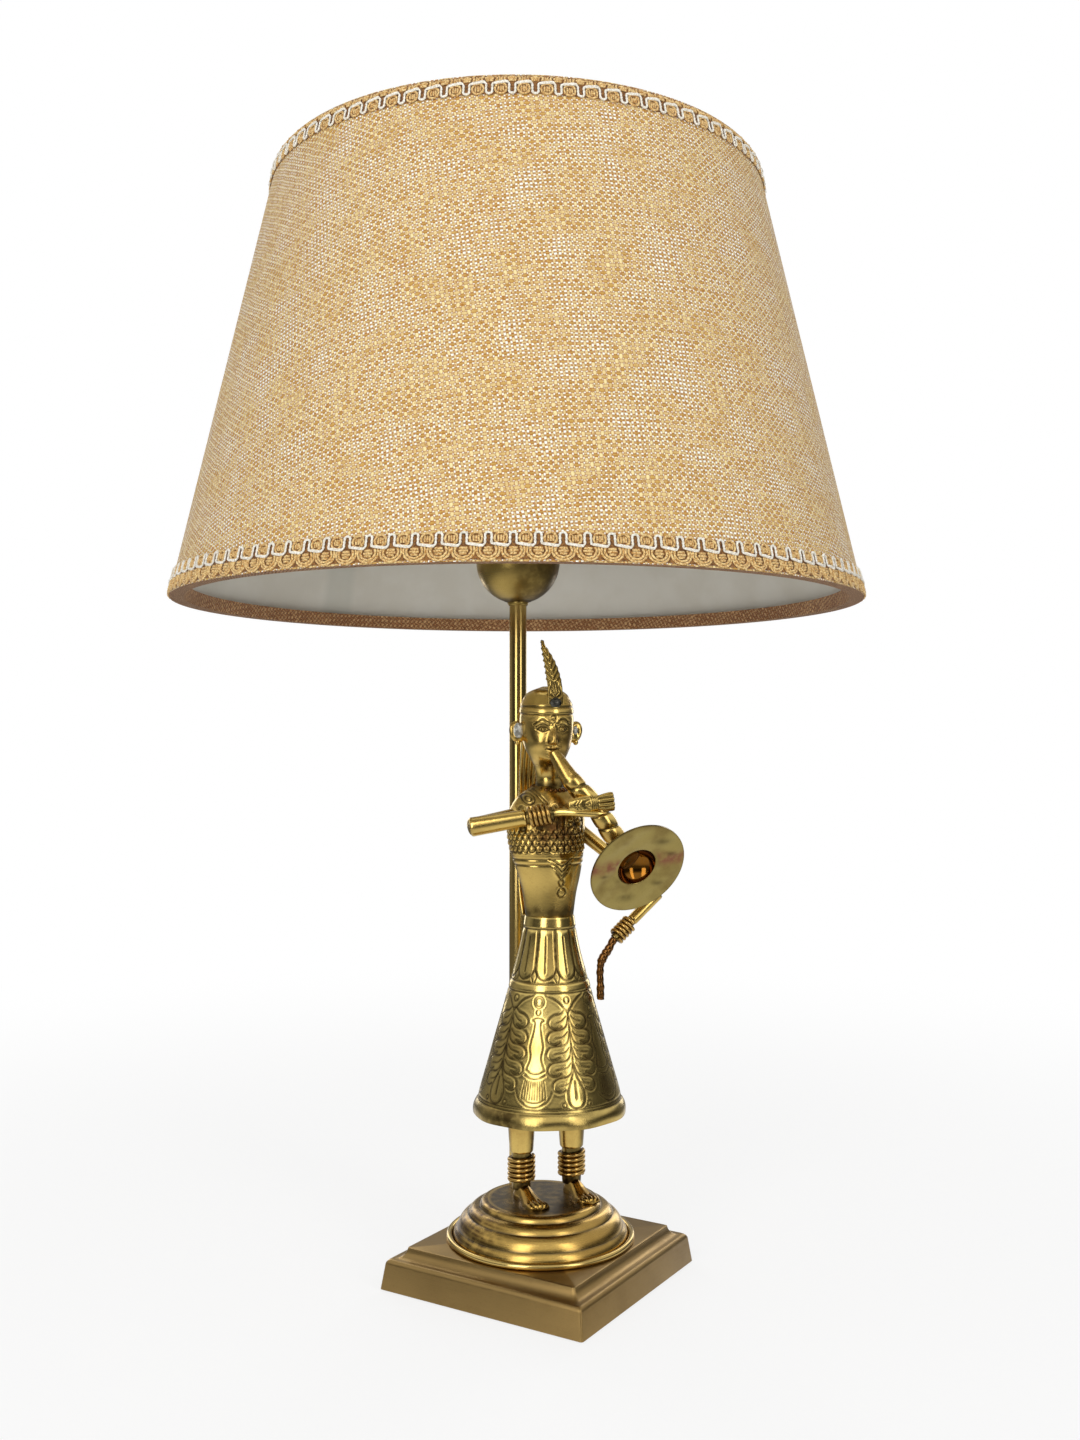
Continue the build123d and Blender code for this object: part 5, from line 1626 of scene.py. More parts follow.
class Torso(FigurePart):
    """Body above the waist, with its blouse and jewels cut into it."""

    lean: float = 1.0
    bottom: float = 135.8
    top: float = 198.5
    half_widths: tuple[Point2, ...] = (
        (135.8, 11.8), (147.0, 13.4), (162.0, 17.2), (177.5, 19.6), (188.5, 18.2), (194.5, 13.5),
        (198.5, 7.0),
    )
    half_depths: tuple[Point2, ...] = (
        (135.8, 9.6), (147.0, 10.4), (162.0, 12.6), (177.5, 13.6), (188.5, 12.2), (194.5, 9.6), (198.5, 7.0),
    )
    hem_lines: Point2 = (161.2, 164.0)
    scale: float = 3.7
    scale_foot: float = 167.4
    scale_rise: float = 2.75
    scale_rows: int = 4
    pendant: float = 1.9
    rosette: Point2 = (10.4, 180.5)
    shoulder: Point2 = (-12.1, 192.6)

    def build(self) -> None:
        """Turn the body as an oval and cut its ornament."""
        heights = np.arange(self.bottom, self.top, 0.42).tolist() + [self.top]
        outline = [(0.0, self.bottom)] + [(1.0, height) for height in heights] + [(0.0, self.top)]
        skin = Skin(lathe(outline, 300), "torso_body")
        wide, deep = flow(skin.points[:, 2], self.half_widths), flow(skin.points[:, 2], self.half_depths)
        skin.points[:, 0] *= wide
        skin.points[:, 1] *= deep
        x, y, z = skin.points.T
        chest = smooth_step(z, 150.0, 176.0)
        girth = np.arctan2(x, -y * wide / deep) * wide
        side = np.hypot(x, y) > 0.8 * deep
        self.cut_blouse(skin, girth, z, side)
        self.cut_jewels(skin, np.where((y < 0) & side, x, FAR), z)
        self.age(skin, x, y, z)
        skin.raise_skin()
        skin.points[:, 0] -= self.lean * chest + 0.07 * np.maximum(x, 0.0) * chest
        self.brass("torso_body", skin, ["torso"])

    def cut_blouse(self, skin: Skin, girth: Values, z: Values, side: Values) -> None:
        """Cut the hem and the rows of scales that run round the blouse."""
        for height in self.hem_lines:
            skin.score(hump(z, height, 0.4) * side, 0.32, 0.9)
        hem = self.hem_lines[0]
        skin.height += 0.35 * smooth_step(z, hem, hem + 1.0) * side
        angles = [math.pi * (1 + step / 10) for step in range(11)]
        for row in range(self.scale_rows):
            level = self.scale_foot + self.scale_rise * row
            cell = (girth / self.scale + 0.5 * (row % 2)) % 1.0
            relief = Relief(np.where(side, (cell - 0.5) * self.scale, FAR), z)
            points = [(1.78 * math.cos(angle), level + 1.9 + 2.0 * math.sin(angle)) for angle in angles]
            relief.groove(points, 0.42, 0.36)
            relief.dome((0.0, level + 1.2), (1.2, 1.0), 0.5)
            relief.carve(skin)

    def cut_jewels(self, skin: Skin, x: Values, z: Values) -> None:
        """Cut the pendant, navel, rosette, straps and shoulder rings."""
        relief = Relief(x, z)
        middle, rosette = self.pendant, self.rosette
        relief.ring((2.4, 148.0), 2.1)
        for level, reach in ((163.4, 6.4), (161.2, 5.2), (159.0, 4.0), (157.0, 2.8)):
            for way in (-reach, reach):
                bend = (middle + 0.5 * way, level - 0.9)
                relief.groove([(middle + way, level + 0.8), bend, (middle, level - 3.0)], 0.42, 0.4)
        relief.dome((middle, 159.4), (3.6, 3.2), 0.9)
        drop = [(middle, 154.6), (3.2, 153.4), (middle, 150.9), (0.6, 153.4), (middle, 154.6)]
        relief.groove(drop, 0.36, 0.36)

        def petal_point(reach: float, turn: float) -> Point2:
            """Point of the rosette at a reach and an eighth of a turn."""
            angle = math.tau * turn / 8
            return (rosette[0] + reach * math.cos(angle), rosette[1] + reach * math.sin(angle))

        for petal in range(8):
            relief.groove([rosette, petal_point(4.4, petal + 0.5)], 0.42, 0.36)
            relief.dome(petal_point(2.9, petal), (1.2, 1.2), 0.55)
        relief.ring(rosette, 4.9, 0.26)
        relief.ring(self.shoulder, 2.4)
        relief.ring(self.shoulder, 1.2, 0.22, 0.3)
        for start, end in (((-11.4, 198.0), (-5.6, 190.4)), ((-9.6, 198.0), (-4.0, 190.6))):
            relief.groove([start, end], 0.34, 0.34)
        for across in (-0.2, 3.8):
            relief.groove([(across, 167.2), (across, 178.0), (across, 189.0)], 0.36, 0.36)
        for bead in range(12):
            relief.dome((1.8, 168.0 + 1.75 * bead), (0.8, 0.75), 0.6)
        for knob in range(30):
            across, level = -15.5 + (7.3 * knob) % 14.6, 178.6 + (4.7 * knob) % 10.4
            relief.ring((across, level), 1.15, 0.34, 0.34)
        relief.carve(skin)

    def age(self, skin: Skin, x: Values, y: Values, z: Values) -> None:
        """Darken the waist and redden the chest under the arm."""
        waist = smooth_step(z + 0.8 * np.sin(0.9 * x), 143.2, 138.6)
        skin.add_dirt_and_shade(0.8 * waist)
        chest = np.exp(-(((x + 1.0) / 13.0) ** 4) - (((z - 179.5) / 12.5) ** 4)) * (y < 0)
        skin.stain = np.maximum(skin.stain, 0.85 * chest)
        skin.add_dirt_and_shade(0.3 * chest)
        neck = smooth_step(z, 194.6, 197.8)
        skin.add_dirt_and_shade(0.85 * neck)


class Head(FigurePart):
    """Head with a plain folk face of its own, a close cap, ears, feather and the veil end behind."""

    lean: float = 1.7
    bottom: float = 198.5
    top: float = 246.2
    face_turn: float = math.radians(-7.0)
    half_widths: tuple[Point2, ...] = (
        (198.5, 7.0), (203.5, 6.4), (209.0, 6.9), (211.5, 8.2), (216.5, 10.6), (224.5, 12.6), (232.5, 12.9),
        (239.5, 11.2), (244.0, 7.4), (246.2, 1.6),
    )
    half_depths: tuple[Point2, ...] = (
        (198.5, 7.0), (203.5, 6.3), (209.0, 7.6), (211.5, 9.6), (216.5, 11.6), (224.5, 13.6), (232.5, 14.2),
        (239.5, 12.4), (244.0, 8.4), (246.2, 1.9),
    )
    forward: tuple[Point2, ...] = (
        (198.5, 0.0), (203.5, 0.0), (209.0, 1.5), (211.5, 2.6), (216.5, 2.2), (224.5, 1.2), (232.5, 0.4),
        (239.5, 0.0), (246.2, 0.0),
    )
    brow: float = 228.6
    eye: float = 226.0
    nose_tip: float = 220.6
    mouth: float = 216.4
    chin: float = 211.6
    eye_side: float = 4.9
    forehead: float = 231.6
    band: float = 233.8
    ear: Point3 = (3.9, 1.9, 5.4)
    ear_side: float = 14.9
    ear_level: float = 224.8
    feather_foot: float = 232.6
    feather_length: float = 35.6
    veil_foot: float = 134.8
    veil_length: float = 90.6
    bead_count: int = 22
    bead_reach: float = 8.2
    bead_level: float = 197.7

    def build(self) -> None:
        """Model the head and what is fixed to it."""
        heights = np.arange(self.bottom, 244.6, 0.34).tolist()
        heights += np.linspace(244.7, self.top, 8).tolist()
        outline = [(0.0, self.bottom)] + [(1.0, height) for height in heights] + [(0.0, self.top)]
        skin = Skin(lathe(outline, 250), "head_shell")
        z = skin.points[:, 2]
        skin.points[:, 0] *= flow(z, self.half_widths)
        skin.points[:, 1] *= flow(z, self.half_depths)
        skin.points[:, 1] -= flow(z, self.forward)
        x, y, z = skin.points.T
        front = smooth_step(-y, 0.0, 4.0)
        self.shape_face(skin, x, z, front)
        self.cut_face(skin, x, z, front)
        self.cut_cap(skin, y, z)
        skin.raise_skin()
        skin.move(Matrix.Rotation(self.face_turn, 4, "Z"))
        skin.points[:, 0] -= self.lean * smooth_step(z, 199.0, 211.0)
        self.brass("head_shell", skin, ["head"], 70.0)
        self.make_ears()
        self.make_feather()
        self.make_veil()
        self.make_beads()

    def shape_face(self, skin: Skin, x: Values, z: Values, front: Values) -> None:
        """Swell the plain forms of the face: nose, cheeks, lips, chin and eyes."""

        def swell(across: float, height: float, wide: float, tall: float) -> Values:
            """Soft oval that is the same on both sides of the face."""
            return hump(np.abs(x), across, wide) * hump(z, height, tall)

        bridge = smooth_step(z, self.brow + 1.0, self.nose_tip)
        bridge *= smooth_step(z, self.nose_tip - 2.0, self.nose_tip - 0.5)
        width = 0.95 + 0.85 * smooth_step(z, self.brow, self.nose_tip)
        rise = 2.9 * bridge * hump(x, 0.0, width)
        rise += 0.9 * swell(1.5, self.nose_tip - 0.7, 0.8, 0.8)
        rise += 0.55 * swell(6.6, 219.4, 2.8, 3.4)
        rise -= 0.75 * swell(self.eye_side, self.eye, 3.4, 2.4)
        rise += 0.95 * swell(self.eye_side, self.eye, 1.9, 1.35)
        rise += 0.6 * swell(self.eye_side, self.brow + 0.9, 3.4, 0.9)
        rise += 0.7 * swell(1.0, self.mouth + 0.8, 1.7, 0.6)
        rise += 0.85 * swell(0.0, self.mouth - 0.9, 2.2, 0.7)
        rise += 0.8 * swell(0.0, self.chin + 0.4, 2.8, 1.5)
        skin.height += rise * front

    def cut_face(self, skin: Skin, x: Values, z: Values, front: Values) -> None:
        """Cut the lids, brows, mouth and forehead ring."""
        relief = Relief(np.where(front > 0.3, np.abs(x), FAR), z)
        inner, middle, outer = self.eye_side - 2.7, self.eye_side, self.eye_side + 2.9
        lines = (
            (self.eye, ((inner, -0.2), (middle, 1.6), (outer, 0.1)), 0.34, 0.3),
            (self.eye, ((inner, -0.2), (middle, -1.3), (outer, 0.1)), 0.3, 0.28),
            (self.eye, ((inner, 1.5), (middle, 2.6), (outer + 0.4, 1.2)), 0.2, 0.28),
            (self.brow, ((1.5, 0.0), (middle, 2.2), (outer + 1.3, -0.2)), 0.34, 0.34),
            (self.mouth, ((0.0, 0.0), (1.8, 0.15), (3.3, 0.4)), 0.36, 0.3),
            (self.nose_tip, ((1.9, 0.0), (2.5, -0.8), (2.0, -1.5)), 0.26, 0.28),
        )
        for level, points, depth, width in lines:
            relief.groove([(across, level + rise) for across, rise in points], depth, width)
        relief.ring((middle, self.eye), 0.85, 0.22, 0.24)
        relief.ring((0.0, self.forehead), 1.15, 0.3, 0.3)
        relief.carve(skin, front)

    def cut_cap(self, skin: Skin, y: Values, z: Values) -> None:
        """Raise the cap over the headband, darken the neck and paint shade under the chin."""
        band = self.band + 0.05 * y
        skin.height += 0.45 * smooth_step(z, band - 0.2, band + 0.5)
        for level, depth in ((band, 0.3), (band + 3.3, 0.22)):
            skin.score(hump(z, level, 0.42), depth, 0.85)
        skin.height += 0.25 * smooth_step(z, band + 3.3, band + 4.1)
        neck = smooth_step(z, 203.0, 199.4)
        skin.add_dirt_and_shade(0.9 * neck)
        # Painted shade under the chin.
        under = hump(z, 208.6, 1.6) * (y < 0)
        skin.add_dirt_and_shade(0.45 * under)

    def make_ears(self) -> None:
        """Model both ears with their dents, solder and studs."""
        ears = bmesh.new()
        solder = bmesh.new()
        for side in (-1, 1):
            middle = Vector((side * self.ear_side - self.lean, 0.2, self.ear_level))
            tilt = Matrix.Rotation(side * 0.3, 4, "Y")
            place = Matrix.Translation(middle) @ tilt @ oval((0, 0, 0), self.ear)
            made = bmesh.ops.create_uvsphere(ears, u_segments=28, v_segments=18, radius=1.0, matrix=place)
            for vert in made["verts"]:
                offset = vert.co - middle
                dent = math.exp(-((offset.x * side - 0.9) / 1.2) ** 2 - (offset.z / 3.0) ** 2)
                if offset.y < 0:
                    vert.co.y += 1.1 * dent
            stud = oval(middle + Vector((side * 0.2, -0.9, -5.0)), (1.3, 1.2, 1.4))
            bmesh.ops.create_uvsphere(ears, u_segments=16, v_segments=10, radius=1.0, matrix=stud)
            reach = 2.9 if side < 0 else 1.7
            spot = middle + Vector((-side * 0.4, -1.2, 0.8))
            blob = oval(spot, (reach, 1.1, 1.3 * reach))
            lump = bmesh.ops.create_icosphere(solder, subdivisions=3, radius=1.0, matrix=blob)
            for index, vert in enumerate(lump["verts"]):
                vert.co.y -= 0.16 * math.sin(2.3 * vert.co.z) + 0.1 * math.sin(1.7 * index)
        self.add("ear_pair", ears, FIGURE_BRASS, "figure_brass", ["ears"])
        self.add("ear_solder", solder, SOLDER, "figure_brass")

    def blade(self, name: str, columns: int, rows: int) -> tuple[Skin, Values, Values]:
        """Start a blade of sheet metal.

        Args:
            name: Name of the mesh.
            columns: Cells across.
            rows: Cells along.

        Returns:
            Its skin, and each point's place across, -1 to 1, and along, 0 to 1.
        """
        shape = bmesh.new()
        bmesh.ops.create_grid(shape, x_segments=columns, y_segments=rows, size=1.0)
        skin = Skin(shape, name)
        return skin, skin.points[:, 0].copy(), (skin.points[:, 1] + 1) / 2

    def make_feather(self) -> None:
        """Model the upright feather with its barbs, and the tulip at its foot."""
        skin, side, share = self.blade("feather_blade", 24, 96)
        spine = flow(share, ((0.0, -1.9), (0.35, -2.4), (0.7, -4.2), (1.0, -7.6)))
        left = flow(share, ((0.0, 2.4), (0.12, 3.6), (0.3, 3.3), (0.6, 3.0), (0.85, 1.7), (1.0, 0.05)))
        right = flow(share, ((0.0, 2.4), (0.12, 3.7), (0.3, 4.2), (0.6, 3.8), (0.85, 2.0), (1.0, 0.05)))
        depth = flow(share, ((0.0, -13.6), (0.4, -12.6), (1.0, -9.8)))
        wide = np.where(side < 0, left, right)
        skin.points[:, 0] = spine + side * wide
        skin.points[:, 1] = depth - 0.9 * (1 - side**2) * (1 - 0.7 * share)
        skin.points[:, 2] = self.feather_foot + self.feather_length * share
        barb = np.sin(math.tau * (12 * share - 1.5 * np.abs(side)))
        above = smooth_step(share, 0.44, 0.48)
        skin.height = 0.24 * barb * above
        edge = smooth_step(np.abs(side), 0.8, 0.97)
        skin.dirt_and_shade = np.maximum(0.8 * smooth_step(barb, -0.1, -0.8) * above, 0.6 * edge)
        rib = hump(side, 0.0, 0.12) * above
        skin.height += 0.3 * rib
        tulip = Relief(side * 3.0, share * self.feather_length)
        for reach, low, high in ((1.2, 9.6, 16.0), (2.4, 8.4, 13.8)):
            for way in (-reach, reach):
                tulip.groove([(0.0, low), (way, low + 2.2), (0.75 * way, high)], 0.34, 0.42)
        tulip.groove([(0.0, 8.0), (0.0, 15.6)], 0.3, 0.4)
        tulip.carve(skin)
        skin.add_dirt_and_shade(0.85 * smooth_step(share, 0.09, 0.02))
        piece = self.brass("feather_blade", skin, ["feather"])
        self.thicken(piece, 0.9)
        lump = bmesh.new()
        spot = oval((-2.0, -13.6, 238.6), (3.0, 1.3, 2.6))
        bmesh.ops.create_icosphere(lump, subdivisions=3, radius=1.0, matrix=spot)
        self.add("feather_solder", lump, DARK_SOLDER, "figure_brass")

    def thicken(self, piece: Piece, wall: float) -> None:
        """Give a sheet of metal its thickness.

        Args:
            piece: Sheet to thicken.
            wall: Thickness in millimetres, behind the sheet.
        """
        solid = piece.modifiers.new("wall", "SOLIDIFY")
        solid.thickness = wall * MM
        solid.offset = -1.0
        solid.use_even_offset = False

    def make_veil(self) -> None:
        """Model the veil end that hangs in a bow down the back."""
        skin, side, share = self.blade("veil_end", 40, 90)
        wide = flow(share, ((0.0, 10.2), (0.3, 10.2), (0.5, 9.6), (1.0, 10.2)))
        back = flow(share, ((0.0, 13.0), (0.1, 16.8), (0.25, 19.2), (0.5, 20.0), (0.75, 18.0), (1.0, 12.4)))
        skin.points[:, 0] = side * wide
        skin.points[:, 1] = back - 1.2 * side**2
        skin.points[:, 2] = self.veil_foot + self.veil_length * share
        fold = np.sin(math.tau * 3.5 * side)
        skin.height = -0.22 * fold
        skin.dirt_and_shade = 0.55 * smooth_step(fold, 0.4, 1.0) + 0.4 * smooth_step(share, 0.05, 0.0)
        piece = self.brass("veil_end", skin, ["hair_braid"])
        self.thicken(piece, -1.5)

    def make_beads(self) -> None:
        """String dark beads round the foot of the neck."""
        beads = bmesh.new()
        reach = self.bead_reach
        for index in range(self.bead_count):
            angle = math.tau * index / self.bead_count
            across, ahead = math.sin(angle), math.cos(angle)
            spot = (reach * across, -reach * ahead - 0.4, self.bead_level - 1.1 * ahead)
            place = Matrix.Translation(spot)
            bmesh.ops.create_icosphere(beads, subdivisions=2, radius=1.15, matrix=place)
        self.add("neck_beads", beads, DARK_BRASS, "figure_brass")


class Arms(FigurePart):
    """Both arms with their bangles and hands."""

    right_shoulder: Point3 = (-13.0, 0.0, 184.5)
    right_elbow: Point3 = (-41.5, -4.0, 179.7)
    right_wrist: Point3 = (-5.3, -19.0, 186.4)
    right_palm: Point3 = (0.4, -24.0, 189.8)
    right_fingers: Point3 = (17.9, -29.4, 191.8)
    right_thumb: tuple[Point3, ...] = (
        (-1.4, -21.4, 187.0), (4.5, -25.6, 186.6), (12.0, -28.6, 186.2), (17.2, -30.0, 186.6),
    )
    left_shoulder: Point3 = (15.0, -1.0, 177.0)
    left_elbow: Point3 = (54.0, -8.6, 145.4)
    left_wrist: Point3 = (29.7, -10.2, 124.4)
    left_knuckle: Point3 = (22.6, -10.8, 113.6)
    left_tip: Point3 = (22.3, -10.8, 95.7)
    right_spigot: float = 3.15
    left_spigot: float = 2.3
    bangle_wire: float = 1.85
    bangle_pitch: float = 2.1
    turns: int = 5
    fit: float = 0.2

    def build(self) -> None:
        """Model both arms."""
        self.bangle_length = self.turns * self.bangle_pitch + 2 * (self.fit + self.bangle_wire / 2)
        self.make_right()
        self.make_left()

    def toward(self, start: Point3, end: Point3, distance: float) -> Point3:
        """Point a distance from end, on the way back to start."""
        way = (Vector(start) - Vector(end)).normalized()
        return tuple(Vector(end) + way * distance)

    def bangles(self, name: str, elbow: Point3, wrist: Point3, spigot: float, node: str) -> None:
        """Wind the bangles of one arm.

        Args:
            name: Name of the piece.
            elbow: Start of the forearm.
            wrist: End of the forearm.
            spigot: Radius that they sit on.
            node: Construction node that they stand for.
        """
        start = self.fit + self.bangle_wire / 2
        cuff = self.toward(elbow, wrist, self.bangle_length - start)
        shape = coil(spigot + start, self.bangle_wire, self.bangle_pitch, self.turns)
        self.winding(name, node, shape, along(cuff, wrist), spigot + start, 0.25)

    def make_right(self) -> None:
        """Model the folded arm, its bangles and the hand on the horn."""
        cuff = self.toward(self.right_elbow, self.right_wrist, self.bangle_length)
        fore = self.rod(self.right_elbow, cuff, 4.6, 4.0, 0.9)
        away = np.linalg.norm(fore.points - np.array(self.right_elbow), axis=1)
        fore.dirt_and_shade = 0.7 * smooth_step(away, 5.2, 3.6) * (fore.points[:, 2] < 178.6)
        self.brass("right_forearm_tube", fore, ["right_forearm"], 50.0)
        spigot = self.rod(cuff, self.right_wrist, self.right_spigot, 3.1, 0.3)
        spigot.dirt_and_shade[:] = 0.85
        self.add("right_cuff", spigot, FIGURE_BRASS, "figure_brass")
        upper = self.rod(self.right_shoulder, self.right_elbow, 4.6, 4.2, 0.8)
        upper.dirt_and_shade = 0.55 * smooth_step(upper.points[:, 0], -22.0, -14.0)
        self.brass("right_upper_arm_tube", upper, ["right_upper_arm"], 50.0)
        ends = (self.right_elbow, self.right_wrist)
        self.bangles("right_bangle_coil", *ends, self.right_spigot, "right_bangles")
        self.make_right_hand()

    def make_right_hand(self) -> None:
        """Model the mitten hand with its rings, leaf and finger grooves, and the thumb below it."""
        way = Vector(self.right_fingers) - Vector(self.right_palm)
        length = way.length + 3.4
        rows = 70
        outline: list[Point2] = [(0.0, 0.0), (0.6, 0.0)]
        outline += [(1.0, length * (0.015 + 0.97 * row / rows)) for row in range(rows + 1)]
        outline += [(0.7, length), (0.0, length)]
        skin = Skin(lathe(outline, 72), "right_mitten")
        share = skin.points[:, 2] / length
        heights = ((0.0, 2.6), (0.2, 3.7), (0.5, 3.9), (0.62, 3.5), (0.8, 4.2), (0.94, 4.5), (1.0, 4.2))
        tall = flow(share, heights)
        thick = flow(share, ((0.0, 1.5), (0.3, 2.0), (0.7, 2.1), (1.0, 1.7)))
        around = np.arctan2(skin.points[:, 1], skin.points[:, 0])
        skin.points[:, 0] *= tall
        skin.points[:, 1] *= thick
        relief = Relief(skin.points[:, 0].copy(), skin.points[:, 2].copy())
        for across in (-2.3, 0.0, 2.3):
            finger = [(across * 0.9, 0.66 * length), (across, 0.8 * length), (across, length)]
            relief.groove(finger, 0.5, 0.34)
        for place in (0.5, 0.545, 0.59, 0.63):
            level = place * length
            relief.groove([(-4.6, level), (0.0, level + 0.4), (4.6, level)], 0.34, 0.32)
        relief.groove([(-2.6, 0.46 * length), (0.0, 0.3 * length), (2.6, 0.46 * length)], 0.32, 0.34)
        relief.groove([(0.0, 0.1 * length), (0.0, 0.28 * length), (0.0, 0.44 * length)], 0.3, 0.3)
        for step in range(4):
            foot = 0.12 + 0.07 * step
            for tip in (-1.9, 1.9):
                relief.groove([(0.0, foot * length), (tip, (foot + 0.08) * length)], 0.26, 0.28)
        relief.carve(skin, np.abs(np.sin(around)))
        skin.add_dirt_and_shade(0.4 * smooth_step(share, 0.97, 1.0))
        way.normalize()
        side = (Vector((0, 0, 1)) - way * way.z).normalized()
        skin.raise_skin()
        skin.move(Matrix.Translation(self.right_palm) @ to_axes(side, way))
        self.brass("right_mitten", skin, ["right_hand"])
        path = (self.right_wrist, *self.right_thumb)
        thumb, thumb_share, _ = self.tube(path, (1.9, 2.0, 1.6, 1.5, 0.5), 60, 24)
        thumb.dirt_and_shade = 0.8 * smooth_step(thumb_share, 0.22, 0.0)
        thumb.stain = 0.7 * smooth_step(thumb_share, 0.82, 1.0)
        self.brass("right_thumb", thumb)

    def make_left(self) -> None:
        """Model the hanging arm with its bangles and slim dark hand."""
        cuff = self.toward(self.left_elbow, self.left_wrist, self.bangle_length)
        upper = self.rod(self.left_shoulder, self.left_elbow, 3.4, 3.0, 0.8)
        upper.dirt_and_shade = 0.6 * smooth_step(upper.points[:, 0], 22.0, 16.0)
        self.brass("left_upper_arm_tube", upper, ["left_upper_arm"], 50.0)
        fore = self.rod(self.left_elbow, cuff, 2.9, 2.7, 0.5)
        fore.dirt_and_shade = 0.4 * smooth_step(fore.points[:, 2], 142.5, 146.0)
        self.brass("left_forearm_tube", fore, ["left_forearm"], 50.0)
        spigot = self.rod(cuff, self.left_wrist, self.left_spigot, 2.25, 0.3)
        spigot.dirt_and_shade[:] = 0.9
        self.add("left_cuff", spigot, FIGURE_BRASS, "figure_brass")
        ends = (self.left_elbow, self.left_wrist)
        self.bangles("left_bangle_coil", *ends, self.left_spigot, "left_bangles")
        middle = tuple((Vector(self.left_wrist) + Vector(self.left_knuckle)) / 2)
        bend = tuple(Vector(self.left_knuckle) + Vector((0.7, 0, 1.6)))
        low = tuple(Vector(self.left_knuckle) + Vector((-0.5, 0, -3.0)))
        half = tuple((Vector(low) + Vector(self.left_tip)) / 2)
        path = (self.left_wrist, middle, bend, low, half, self.left_tip)
        hand, share, around = self.tube(path, (1.8, 2.0, 2.1, 1.7, 1.75, 1.9), 150, 28, 0.12)
        wave = np.sin(share * 46.0 + 1.3 * np.sin(around)) * np.sin(share * 17.0)
        hand.height = 0.22 * wave
        for finger in (-0.9, 0.0, 0.9):
            seam = hump(around, finger - 1.4, 0.16) * smooth_step(share, 0.52, 0.62)
            hand.score(seam, 0.3, 0.8)
        self.add("left_slim_hand", hand, DARK_BRASS, "figure_brass", ["left_hand"], 60.0)


